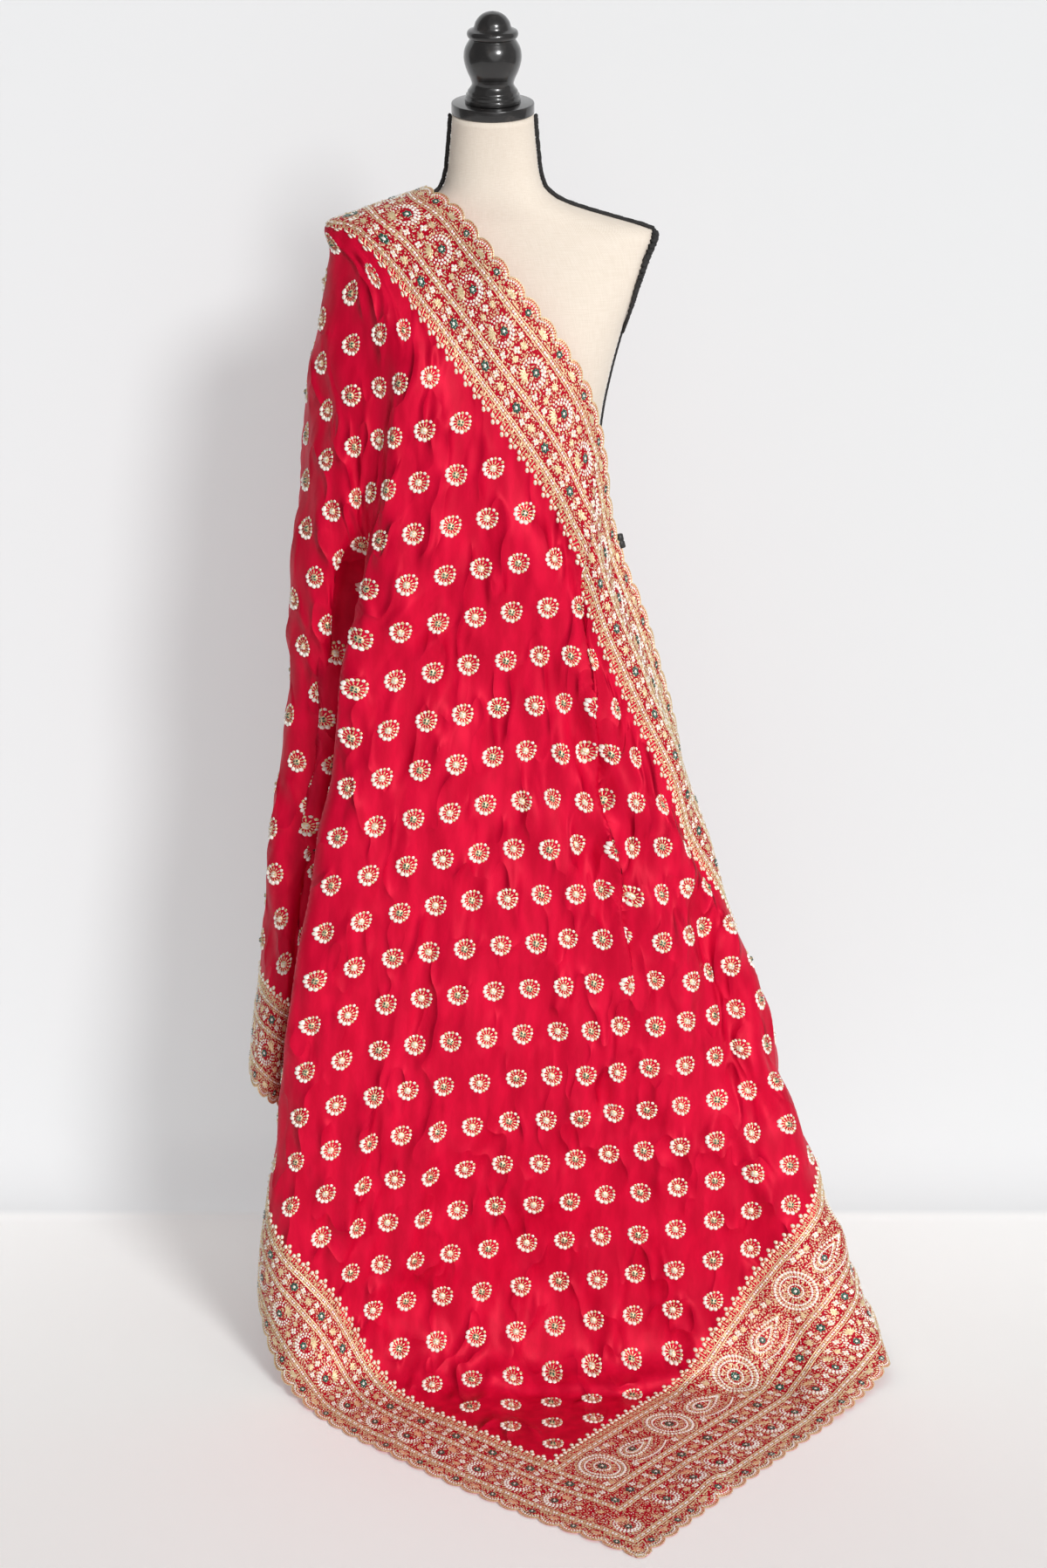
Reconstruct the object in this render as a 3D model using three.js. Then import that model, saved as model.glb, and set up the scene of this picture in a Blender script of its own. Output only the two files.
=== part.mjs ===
// A satin sari draped over one shoulder of a limbless dress form, its pallu spread on the floor.
// Millimetres, +Z up, the front faces -Y, the origin is under the middle of the stand's base.
// The cloth is one rectangle, cut WIDTH across and LENGTH long. A place on the flat cut is (u, v):
// u runs from the neck-side edge to the hem-side edge, v from the pallu end to the inner end.
import * as THREE from 'three';
import { mergeVertices } from 'three/addons/utils/BufferGeometryUtils.js';

// ---- the cloth as it is cut ----
const WIDTH = 1170;
const LENGTH = 2400;
const WALL = 2;
const SEAM_GAP = 0.3;
const SIDE_BORDER = 142;
const END_BORDER = 212;
const SIDE_FALL_FROM = 1180; // v where the front panel ends and the side fall begins
const BACK_FALL_FROM = 1560; // v where the side fall ends and the back fall begins

// ---- how it hangs ----
const FLOOR_CLEARANCE = 0.3;
const FORM_CLEARANCE = 13;
const SHOULDER_LIFT = 10;
const PATH_STEPS = 48;
const SETTLE_SWEEPS = 80;
const PULL = 0.3;
const PUSH = 0.15;
const SMOOTHING = 0.08;
const LAST_SMOOTHING = 0.5;
const GUIDE_PULL = 0.04;
const WAIST_PIN = { from: 900, to: 1010, width: 60, pull: 0.5 };
const SECTION_ROUNDNESS = 2.4;

// ---- the stand and the form ----
const BASE_RADIUS = 120;
const BASE_HEIGHT = 22;
const BASE_BEVEL = 5;
const POLE_RADIUS = 14;
const COLLAR_RADIUS = 34;
const COLLAR_HEIGHT = 18;
const HEM_Z = 686;
const NECK_BASE_Z = 1434;
const NECK_TOP_Z = 1520;
const NECK_TILT = THREE.MathUtils.degToRad(10);
const DISC_RADIUS = 47.5;
const DISC_HEIGHT = 13;
const TORSO_SIDES = 40;
const LATHE_SIDES = 32;
const PIECE_GAP = 0.4;
const CORD_GAP = 1.6;
const CORD_SIDES = 8;
const NECK_CORD_RADIUS = 2.6;
const ARMHOLE_CORD_RADIUS = 3.2;
const SEAM_CORD_RADIUS = 1.6;
const ARMHOLE_LOW_Z = 1272;
const SHOULDER_TIP_Z = 1387;
const ARMHOLE_SPREAD = 0.3; // half the armhole's opening, as an angle round the section
const WAIST_CLIP = { width: 9, depth: 9, height: 15, x: 148, y: -70, z: 1034 };

const COLOURS = { satin: 0xb8102c, gold: 0xc9a06c, cream: 0xf1e6d8, black: 0x1c1b1b, steel: 0x3a3a3c };

// Horizontal sections of the torso: half its width, and how far it reaches to the front and back.
const TORSO = [
  { z: 686, wide: 140, front: 92, back: 96 },
  { z: 745, wide: 152, front: 100, back: 108 },
  { z: 830, wide: 138, front: 92, back: 104 },
  { z: 940, wide: 106, front: 78, back: 84 },
  { z: 1030, wide: 112, front: 88, back: 88 },
  { z: 1105, wide: 120, front: 104, back: 92 },
  { z: 1160, wide: 124, front: 114, back: 96 },
  { z: 1210, wide: 133, front: 112, back: 98 },
  { z: 1276, wide: 150, front: 98, back: 98 },
  { z: 1322, wide: 169, front: 82, back: 92 },
  { z: 1360, wide: 180, front: 66, back: 80 },
  { z: 1387, wide: 183, front: 54, back: 68 },
  { z: 1399, wide: 144, front: 50, back: 60 },
  { z: 1410, wide: 106, front: 50, back: 56 },
  { z: 1420, wide: 77, front: 50, back: 53 },
  { z: 1434, wide: 59, front: 49, back: 50 },
  { z: 1455, wide: 52, front: 47, back: 48 },
  { z: NECK_TOP_Z, wide: 46.5, front: 46.5, back: 46.5 },
];

// The turned finial above the disc: radius at each height from the disc's top.
const FINIAL = [
  { z: 0, radius: 32 }, { z: 4.5, radius: 32 }, { z: 5, radius: 30.6 }, { z: 9, radius: 30.6 },
  { z: 9.6, radius: 29 }, { z: 13, radius: 28.6 }, { z: 17, radius: 25.6 }, { z: 21, radius: 24 },
  { z: 27, radius: 25.6 }, { z: 36, radius: 29.6 }, { z: 46, radius: 32.5 }, { z: 54, radius: 33 },
  { z: 62, radius: 31.4 }, { z: 70, radius: 27 }, { z: 72, radius: 26 }, { z: 74, radius: 28.2 },
  { z: 77.5, radius: 29.3 }, { z: 81, radius: 28 }, { z: 83, radius: 24 }, { z: 85, radius: 21.4 },
  { z: 91, radius: 19.4 }, { z: 97, radius: 14.8 }, { z: 101, radius: 8.6 }, { z: 103, radius: 0 },
];

// The neck-side edge of the cloth, u = 0: down the front, and from 1435 on over the shoulder and
// down the back. At 941 to 984 it is clipped at the waist.
const EDGE = [
  { v: 0, at: [215, 115, 151] },
  { v: 200, at: [226, 95, 344] },
  { v: 400, at: [234, 60, 536] },
  { v: 560, at: [238, 5, 688] },
  { v: 641, at: [232, -45, 752] },
  { v: 739, at: [200, -74, 846] },
  { v: 849, at: [170, -78, 948] },
  { v: 941, at: [143, -76, 1033] },
  { v: 984, at: [133, -82, 1075] },
  { v: 1048, at: [126, -94, 1138] },
  { v: 1100, at: [117, -106, 1191] },
  { v: 1178, at: [86, -124, 1263] },
  { v: 1255, at: [36, -122, 1317] },
  { v: 1350, at: [-19, -98, 1388] },
  { v: 1435, at: [-63, -42, 1438] },
  { v: 1470, at: [-73, -10, 1449] },
  { v: 1510, at: [-75, 30, 1443] },
  { v: 1600, at: [-38, 86, 1387] },
  { v: 1650, at: [-8, 100, 1350] },
  { v: 1700, at: [20, 108, 1308] },
];

// The falls: straight lines on the flat cloth that hang from the neck-side edge, at v = from, to
// the far edges of the cut, at to = (u, v). Ridges and valleys of the large folds are such lines.
const FALLS = [
  { name: 'return corner', from: 0, to: [450, 0],
    upper: [268, 112, 125], waist: [322, 100, 72], knee: [374, 78, 20], foot: [428, 38, 9],
    hem: [476, -15, 9] },
  { name: 'return low', from: 200, to: [490, 0],
    upper: [280, 82, 295], waist: [335, 62, 212], knee: [386, 38, 115], foot: [434, 8, 34],
    hem: [484, -50, 8] },
  { name: 'return high', from: 400, to: [530, 0],
    upper: [285, 38, 474], waist: [335, 15, 368], knee: [385, -8, 230], foot: [442, -36, 84],
    hem: [491, -88, 7] },
  { name: 'right roll', from: 560, to: [565, 0],
    upper: [266, -4, 615], waist: [310, -18, 495], knee: [368, -38, 330], foot: [443, -68, 150],
    hem: [496, -122, 7] },
  { name: 'right front', from: 641, to: [660, 0],
    upper: [262, -58, 650], waist: [302, -84, 490], knee: [350, -102, 310], foot: [402, -120, 50],
    hem: [448, -200, 1.3] },
  { name: 'end middle', from: 700, to: [850, 0],
    upper: [232, -68, 690], waist: [258, -78, 500], knee: [290, -108, 290], foot: [318, -138, 16],
    hem: [350, -333, 1.3] },
  { name: 'end outer', from: 758, to: [1047, 0],
    upper: [222, -96, 750], waist: [236, -112, 600], knee: [228, -133, 380], foot: [214, -148, 10],
    hem: [231, -498, 1.3] },
  { name: 'pallu corner', from: 849, to: [1170, 0],
    upper: [182, -104, 830], waist: [182, -125, 680], knee: [168, -138, 400], foot: [148, -153, 10],
    hem: [169, -582, 1.3] },
  { name: 'right of the tuck', from: 958, to: [1170, 111],
    upper: [139, -112, 910], waist: [136, -132, 720], knee: [114, -143, 420], foot: [67, -154, 10],
    hem: [82, -520, 1.3] },
  { name: 'left of the tuck', from: 1024, to: [1170, 177],
    upper: [115, -116, 960], waist: [102, -133, 740], knee: [76, -143, 430], foot: [22, -156, 10],
    hem: [28, -476, 1.3] },
  { name: 'front 1', from: 1091, to: [1170, 244],
    upper: [104, -120, 1040], waist: [78, -134, 800], knee: [34, -146, 440], foot: [-33, -161, 10],
    hem: [-19, -431, 1.3] },
  { name: 'front 2', from: 1158, to: [1170, 311],
    upper: [82, -124, 1110], waist: [42, -136, 820], knee: [-12, -149, 450], foot: [-82, -167, 10],
    hem: [-68, -384, 1.3] },
  { name: 'front 3', from: 1224, to: [1170, 377],
    upper: [42, -128, 1150], waist: [6, -137, 840], knee: [-52, -151, 460], foot: [-127, -171, 10],
    hem: [-114, -336, 1.3] },
  { name: 'front 4', from: 1290, to: [1170, 443],
    upper: [0, -131, 1150], waist: [-38, -140, 835], knee: [-95, -153, 450], foot: [-165, -173, 10],
    hem: [-160, -287, 1.3] },
  { name: 'front 5', from: 1357, to: [1170, 510],
    upper: [-36, -131, 1180], waist: [-77, -142, 835], knee: [-133, -156, 450],
    foot: [-197, -171, 12], hem: [-202, -234, 1.3] },
  { name: 'front 6', from: 1410, to: [1170, 577],
    upper: [-70, -129, 1215], waist: [-112, -142, 835], knee: [-172, -157, 450],
    foot: [-226, -164, 30], hem: [-241, -183, 1.5] },
  { name: 'left ridge', from: 1440, to: [1170, 740],
    upper: [-88, -126, 1250], waist: [-140, -134, 1000], knee: [-222, -152, 580],
    foot: [-289, -118, 205], hem: [-309, -60, 66] },
  { name: 'left valley', from: 1470, to: [1170, 960],
    upper: [-114, -110, 1290], waist: [-152, -78, 1040], knee: [-192, -12, 640],
    foot: [-220, 45, 430], hem: [-234, 74, 242] },
  { name: 'side front ridge', from: 1500, to: [1170, 1180],
    upper: [-142, -84, 1325], waist: [-182, -80, 1080], knee: [-216, -72, 680],
    foot: [-264, -60, 430], hem: [-283, -58, 338] },
  { name: 'side outer', from: 1545, to: [1170, 1260],
    upper: [-176, -46, 1358], waist: [-214, -36, 1180], knee: [-256, -26, 790],
    foot: [-296, -16, 470], hem: [-314, -6, 348] },
  { name: 'side back ridge', from: 1585, to: [1170, 1400],
    upper: [-186, 10, 1372], waist: [-216, 42, 1150], knee: [-240, 92, 760],
    foot: [-262, 126, 470], hem: [-268, 138, 366] },
  { name: 'side back valley', from: 1605, to: [1170, 1570], upper: [-186, 44, 1362],
    hem: [-140, 78, 392] },
  { name: 'back ridge 1', from: 1620, to: [1170, 1760], upper: [-172, 88, 1340],
    hem: [-192, 222, 350] },
  { name: 'back valley 1', from: 1635, to: [1170, 1990], upper: [-126, 106, 1306],
    hem: [-85, 62, 300] },
  { name: 'back ridge 2', from: 1650, to: [1170, 2220], upper: [-80, 112, 1262],
    hem: [-95, 265, 225] },
  { name: 'back corner', from: 1665, to: [1170, 2400], upper: [-42, 118, 1226],
    hem: [12, 320, 122] },
  { name: 'inner end 1', from: 1675, to: [930, 2400], hem: [0, 150, 262] },
  { name: 'inner end 2', from: 1680, to: [700, 2400], hem: [65, 308, 374] },
  { name: 'inner end 3', from: 1685, to: [450, 2400], hem: [85, 112, 490] },
  { name: 'inner end 4', from: 1690, to: [220, 2400], hem: [130, 280, 585] },
  { name: 'inner corner', from: 1700, to: [0, 2400], hem: [200, 110, 612] },
];
const STATIONS = [
  { name: 'upper', part: 0.2 }, { name: 'waist', part: 0.4 }, { name: 'knee', part: 0.62 },
  { name: 'foot', part: 0.82 }, { name: 'hem', part: 1 },
];
const AXES = ['x', 'y', 'z'];

// ---- reading the tables ----

// A Catmull-Rom blend of four neighbouring values.
function blend(before, here, next, after, t) {
  const pull = (next - before) / 2;
  const push = (after - here) / 2;
  const square = t * t;
  const cube = square * t;
  return (2 * cube - 3 * square + 1) * here + (cube - 2 * square + t) * pull
    + (3 * square - 2 * cube) * next + (cube - square) * push;
}

// The value of a row's key, or of one item of it, part of the way between two rows.
function readColumn(rows, index, key, item) {
  const here = Math.min(Math.floor(index), rows.length - 2);
  const value = (row) => {
    const cell = rows[THREE.MathUtils.clamp(row, 0, rows.length - 1)][key];
    return item === undefined ? cell : cell[item];
  };
  return blend(value(here - 1), value(here), value(here + 1), value(here + 2), index - here);
}

// The place in the rows where a rising key reaches a value, with even steps between two rows.
function findRow(rows, key, value) {
  let here = 0;
  while (here < rows.length - 2 && rows[here + 1][key] < value) here += 1;
  const step = (value - rows[here][key]) / (rows[here + 1][key] - rows[here][key]);
  return here + THREE.MathUtils.clamp(step, 0, 1);
}

function edgePoint(v) {
  const index = findRow(EDGE, 'v', v);
  return new THREE.Vector3(...[0, 1, 2].map((axis) => readColumn(EDGE, index, 'at', axis)));
}

// ---- the torso ----

function torsoSection(z) {
  const index = findRow(TORSO, 'z', z);
  return {
    wide: readColumn(TORSO, index, 'wide'),
    front: readColumn(TORSO, index, 'front'),
    back: readColumn(TORSO, index, 'back'),
  };
}

// A point of the torso at an angle round it, from +X towards the back, moved out by grow. The
// neck leans forward and its top is tilted.
function torsoPoint(z, angle, grow = 0) {
  const { wide, front, back } = torsoSection(z);
  const across = Math.cos(angle);
  const along = Math.sin(angle);
  const power = 2 / SECTION_ROUNDNESS;
  const x = Math.sign(across) * Math.abs(across) ** power * (wide + grow);
  const depth = along < 0 ? front : back;
  const y = Math.sign(along) * Math.abs(along) ** power * (depth + grow);
  const lean = THREE.MathUtils.clamp((z - NECK_BASE_Z) / (NECK_TOP_Z - NECK_BASE_Z), 0, 1);
  const slope = Math.tan(NECK_TILT);
  return new THREE.Vector3(x, y - (z - NECK_BASE_Z) * lean * slope, z + y * lean * slope);
}

// The heights of the torso's rings: the table's, and one between each two.
function torsoLevels() {
  return TORSO.flatMap(({ z }, row) => (
    row + 1 < TORSO.length ? [z, (z + TORSO[row + 1].z) / 2] : [z]));
}

// Moves a point of the cloth out of the torso, to lie just clear of it.
function clearOfTorso(point) {
  const z = point.z - SHOULDER_LIFT;
  if (z > NECK_BASE_Z || z < HEM_Z - FORM_CLEARANCE) return point;
  const { wide, front, back } = torsoSection(z);
  const x = Math.abs(point.x) / (wide + FORM_CLEARANCE);
  const y = Math.abs(point.y) / ((point.y < 0 ? front : back) + FORM_CLEARANCE);
  const inside = (x ** SECTION_ROUNDNESS + y ** SECTION_ROUNDNESS) ** (1 / SECTION_ROUNDNESS);
  if (inside >= 1 || inside < 0.05) return point;
  return point.set(point.x / inside, point.y / inside, point.z);
}

// ---- the draped cloth ----

const lowest = WALL / 2 + FLOOR_CLEARANCE;

// A place where one of the table's falls passes; a fall with no such place hangs straight there.
function station(row, name, part) {
  const { from, upper, hem, [name]: place } = FALLS[
    THREE.MathUtils.clamp(row, 0, FALLS.length - 1)];
  if (place) return new THREE.Vector3(...place);
  const above = upper ? STATIONS[0].part : 0;
  const top = upper ? new THREE.Vector3(...upper) : edgePoint(from);
  return top.lerp(new THREE.Vector3(...hem), (part - above) / (1 - above));
}

// One fall between two rows of the table: a path that keeps even steps of cloth along it.
function fallPath(index) {
  const here = Math.min(Math.floor(index), FALLS.length - 2);
  const start = edgePoint(readColumn(FALLS, index, 'from'));
  const stations = STATIONS.map(({ name, part }) => {
    const around = [-1, 0, 1, 2].map((step) => station(here + step, name, part));
    return new THREE.Vector3(...AXES.map((axis) => (
      blend(...around.map((place) => place[axis]), index - here))));
  });
  const curve = new THREE.CatmullRomCurve3([start, ...stations], false, 'centripetal');
  const points = [];
  const lengths = [0];
  for (let step = 0; step <= PATH_STEPS; step += 1) {
    const point = clearOfTorso(curve.getPoint(step / PATH_STEPS));
    point.z = Math.max(point.z, lowest);
    points.push(point);
    if (step > 0) lengths.push(lengths[step - 1] + point.distanceTo(points[step - 1]));
  }
  return { points, lengths };
}

function alongPath({ points, lengths }, part) {
  const goal = part * lengths[PATH_STEPS];
  let step = 1;
  while (step < PATH_STEPS && lengths[step] < goal) step += 1;
  const span = lengths[step] - lengths[step - 1];
  return points[step - 1].clone().lerp(points[step], (goal - lengths[step - 1]) / span);
}

// The fall that passes through (u, v): lines are straight on the flat cloth and never cross.
function findFall(u, v) {
  let low = 0;
  let high = FALLS.length - 1;
  for (let halving = 0; halving < 30; halving += 1) {
    const middle = (low + high) / 2;
    const from = readColumn(FALLS, middle, 'from');
    const endU = readColumn(FALLS, middle, 'to', 0);
    const endV = readColumn(FALLS, middle, 'to', 1);
    if (endU * (v - from) > u * (endV - from)) low = middle;
    else high = middle;
  }
  return (low + high) / 2;
}

function clothPoint(u, v) {
  const index = findFall(u, v);
  const from = readColumn(FALLS, index, 'from');
  const endU = readColumn(FALLS, index, 'to', 0);
  const endV = readColumn(FALLS, index, 'to', 1) - from;
  const part = (u * endU + (v - from) * endV) / (endU ** 2 + endV ** 2);
  return alongPath(fallPath(index), THREE.MathUtils.clamp(part, 0, 1));
}

// Even steps between two places on the cut, with both ends.
function steps(from, to, count) {
  return Array.from({ length: count + 1 }, (_, step) => from + (to - from) * step / count);
}

const ACROSS = [
  ...steps(0, SIDE_BORDER, 3),
  ...steps(SIDE_BORDER, WIDTH - SIDE_BORDER, 22).slice(1, -1),
  ...steps(WIDTH - SIDE_BORDER, WIDTH, 3),
];
const ALONG = [
  ...steps(0, END_BORDER, 5),
  ...steps(END_BORDER, SIDE_FALL_FROM, 21).slice(1),
  ...steps(SIDE_FALL_FROM, BACK_FALL_FROM, 10).slice(1),
  ...steps(BACK_FALL_FROM, LENGTH, 19).slice(1),
];

// Moves two crossings of the net towards the length of cloth that lies between them.
function holdLength(here, there, length) {
  const way = there.clone().sub(here);
  const error = way.length() - length;
  way.setLength(error * (error > 0 ? PULL : PUSH));
  here.add(way);
  there.sub(way);
}

// Eases every crossing of the net towards the mean of its neighbours; the rim stays where it is.
function easeBends(net, share) {
  const before = net.map((row) => row.map((point) => point.clone()));
  net.forEach((row, r) => row.forEach((point, c) => {
    const sideways = c > 0 && c + 1 < row.length ? [before[r][c - 1], before[r][c + 1]] : [];
    const lengthways = r > 0 && r + 1 < net.length ? [before[r - 1][c], before[r + 1][c]] : [];
    const near = [...sideways, ...lengthways];
    if (near.length === 0) return;
    const sum = near.reduce((total, next) => total.add(next), new THREE.Vector3());
    point.lerp(sum.divideScalar(near.length), share);
  }));
}

// How firmly a crossing is drawn to its fall: the edge is pinned at the waist.
function guidePull(u, v) {
  const { from, to, width, pull } = WAIST_PIN;
  return u < width && v > from && v < to ? pull : GUIDE_PULL;
}

// Lets the net of the falls settle: true lengths along and across, soft bends, clear of the form.
function settle(guide) {
  const net = guide.map((row) => row.map((point) => point.clone()));
  for (let sweep = 0; sweep < SETTLE_SWEEPS; sweep += 1) {
    net.forEach((row, r) => row.forEach((point, c) => {
      if (c > 0) holdLength(row[c - 1], point, ACROSS[c] - ACROSS[c - 1]);
      if (r > 0) holdLength(net[r - 1][c], point, ALONG[r] - ALONG[r - 1]);
    }));
    easeBends(net, sweep + 1 < SETTLE_SWEEPS ? SMOOTHING : LAST_SMOOTHING);
    net.forEach((row, r) => row.forEach((point, c) => {
      point.lerp(guide[r][c], guidePull(ACROSS[c], ALONG[r]));
      clearOfTorso(point);
      point.z = Math.max(point.z, lowest);
    }));
  }
  return net;
}

const CLOTH = settle(ALONG.map((v) => ACROSS.map((u) => clothPoint(u, v))));

// The cloth's outward direction at a crossing of the net: the mean of the faces round it.
function crossingNormal(row, column) {
  const sum = new THREE.Vector3();
  for (const [stepR, stepC] of [[1, 1], [1, -1], [-1, 1], [-1, -1]]) {
    const along = CLOTH[row + stepR]?.[column];
    const across = CLOTH[row][column + stepC];
    if (!along || !across) continue;
    const face = along.clone().sub(CLOTH[row][column]);
    face.cross(across.clone().sub(CLOTH[row][column])).normalize();
    sum.addScaledVector(face, stepR * stepC);
  }
  return sum.normalize();
}

// A value between the crossings of the net, from a function of row and column.
function between(valueAt, row, column) {
  const [r, c] = [Math.floor(row), Math.floor(column)];
  const nextR = Math.min(r + 1, ALONG.length - 1);
  const nextC = Math.min(c + 1, ACROSS.length - 1);
  const first = valueAt(r, c).clone().lerp(valueAt(r, nextC), column - c);
  const second = valueAt(nextR, c).clone().lerp(valueAt(nextR, nextC), column - c);
  return first.lerp(second, row - r);
}

// ---- making meshes ----

const pieces = new THREE.Group();

function addPiece(name, geometry, finish) {
  const material = new THREE.MeshStandardMaterial(finish);
  const mesh = new THREE.Mesh(geometry, material);
  mesh.name = name;
  pieces.add(mesh);
  return mesh;
}

// A closed wall from a net of points: the faces, then a rim round them. Both faces are split the
// same way, and so are the rims that meet at a seam.
function wallGeometry(outer, inner) {
  const rows = outer.length;
  const columns = outer[0].length;
  const vertices = [...outer.flat(), ...inner.flat()].flatMap((point) => point.toArray());
  const at = (side, row, column) => side * rows * columns + row * columns + column;
  const faces = [];
  const quad = (a, b, c, d) => faces.push(a, b, c, a, c, d);
  for (let row = 0; row + 1 < rows; row += 1) {
    for (let column = 0; column + 1 < columns; column += 1) {
      const corners = (side) => [at(side, row, column), at(side, row, column + 1),
        at(side, row + 1, column + 1), at(side, row + 1, column)];
      quad(...corners(1));
      const [a, b, c, d] = corners(0);
      quad(a, d, c, b);
    }
  }
  for (let column = 0; column + 1 < columns; column += 1) {
    quad(at(0, 0, column), at(0, 0, column + 1), at(1, 0, column + 1), at(1, 0, column));
    const last = rows - 1;
    quad(at(0, last, column), at(1, last, column), at(1, last, column + 1),
      at(0, last, column + 1));
  }
  for (let row = 0; row + 1 < rows; row += 1) {
    quad(at(1, row, 0), at(1, row + 1, 0), at(0, row + 1, 0), at(0, row, 0));
    const last = columns - 1;
    quad(at(1, row, last), at(0, row, last), at(0, row + 1, last), at(1, row + 1, last));
  }
  const geometry = new THREE.BufferGeometry();
  geometry.setAttribute('position', new THREE.Float32BufferAttribute(vertices, 3));
  geometry.setIndex(faces);
  return geometry;
}

// The steps of the net from one seam or rim to another, drawn in by half a gap at each seam.
function seamSteps(values, from, to) {
  const first = values.indexOf(from);
  const last = values.indexOf(to);
  const inner = Array.from({ length: last - first - 1 }, (_, step) => first + 1 + step);
  const start = first === 0 ? 0 : SEAM_GAP / 2 / (values[first + 1] - from);
  const end = last === values.length - 1 ? 0 : SEAM_GAP / 2 / (to - values[last - 1]);
  return [first + start, ...inner, last - end];
}

// A stretch of the cloth between two widths and two lengths, as a wall of even thickness.
function addStretch(name, fromU, toU, fromV, toV, finish) {
  const columns = seamSteps(ACROSS, fromU, toU);
  const rows = seamSteps(ALONG, fromV, toV);
  const net = (side) => rows.map((row) => columns.map((column) => {
    const point = between((r, c) => CLOTH[r][c], row, column);
    const normal = between(crossingNormal, row, column).normalize();
    return point.addScaledVector(normal, side * WALL / 2);
  }));
  addPiece(name, wallGeometry(net(1), net(-1)), finish);
}

// A turned shape from its profile, which starts and ends on the axis.
function turned(profile) {
  const outline = profile.map(({ radius, z }) => new THREE.Vector2(radius, z));
  const geometry = new THREE.LatheGeometry(outline, LATHE_SIDES).rotateX(Math.PI / 2);
  geometry.deleteAttribute('normal');
  geometry.deleteAttribute('uv');
  return mergeVertices(geometry, 1e-4);
}

// A round cord along a path of points.
function cordGeometry(points, radius) {
  const circle = new THREE.Shape();
  circle.absarc(0, 0, radius, 0, 2 * Math.PI);
  const path = new THREE.CatmullRomCurve3(points, false, 'centripetal');
  return new THREE.ExtrudeGeometry(circle, {
    steps: points.length * 2 - 2, curveSegments: CORD_SIDES, extrudePath: path });
}

// ---- the sari ----

function addSari() {
  const satin = { color: COLOURS.satin, roughness: 0.35, metalness: 0 };
  const border = { color: COLOURS.gold, roughness: 0.5, metalness: 0.3 };
  const inner = [SIDE_BORDER, WIDTH - SIDE_BORDER];
  addStretch('pallu_end_border', 0, WIDTH, 0, END_BORDER, border);
  const stretches = [
    { name: 'front_panel', from: END_BORDER, to: SIDE_FALL_FROM },
    { name: 'side_fall', from: SIDE_FALL_FROM, to: BACK_FALL_FROM },
    { name: 'back_fall', from: BACK_FALL_FROM, to: LENGTH },
  ];
  for (const { name, from, to } of stretches) {
    addStretch(`${name}_body`, inner[0], inner[1], from, to, satin);
    addStretch(`${name}_neck_border`, 0, inner[0], from, to, border);
    addStretch(`${name}_hem_border`, inner[1], WIDTH, from, to, border);
  }
}

// ---- the dress form ----

function addTorso() {
  const levels = torsoLevels();
  const angles = steps(0, 2 * Math.PI, TORSO_SIDES).slice(0, -1);
  const vertices = levels.flatMap((z) => angles.flatMap((angle) => torsoPoint(z, angle).toArray()));
  const faces = [];
  const at = (level, side) => level * TORSO_SIDES + side % TORSO_SIDES;
  for (let level = 0; level + 1 < levels.length; level += 1) {
    for (let side = 0; side < TORSO_SIDES; side += 1) {
      faces.push(at(level, side), at(level, side + 1), at(level + 1, side + 1));
      faces.push(at(level, side), at(level + 1, side + 1), at(level + 1, side));
    }
  }
  const top = levels.length - 1;
  for (let side = 1; side + 1 < TORSO_SIDES; side += 1) {
    faces.push(at(0, 0), at(0, side + 1), at(0, side));
    faces.push(at(top, 0), at(top, side), at(top, side + 1));
  }
  const geometry = new THREE.BufferGeometry();
  geometry.setAttribute('position', new THREE.Float32BufferAttribute(vertices, 3));
  geometry.setIndex(faces);
  addPiece('torso', geometry, { color: COLOURS.cream, roughness: 0.9, metalness: 0 });
}

function addFinial() {
  const black = { color: COLOURS.black, roughness: 0.25, metalness: 0 };
  const neckTop = torsoPoint(NECK_TOP_Z, 0);
  const head = new THREE.Group();
  head.position.set(0, neckTop.y, neckTop.z);
  head.rotation.x = NECK_TILT;
  const disc = addPiece('neck_disc', turned([
    { radius: 0, z: PIECE_GAP }, { radius: DISC_RADIUS - 1, z: PIECE_GAP },
    { radius: DISC_RADIUS, z: PIECE_GAP + 1 }, { radius: DISC_RADIUS, z: DISC_HEIGHT - 1 },
    { radius: DISC_RADIUS - 1, z: DISC_HEIGHT }, { radius: 0, z: DISC_HEIGHT },
  ]), black);
  const finial = addPiece('finial', turned([{ radius: 0, z: 0 }, ...FINIAL]), black);
  finial.position.z = DISC_HEIGHT + PIECE_GAP;
  head.add(disc, finial);
  pieces.add(head);
}

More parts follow.
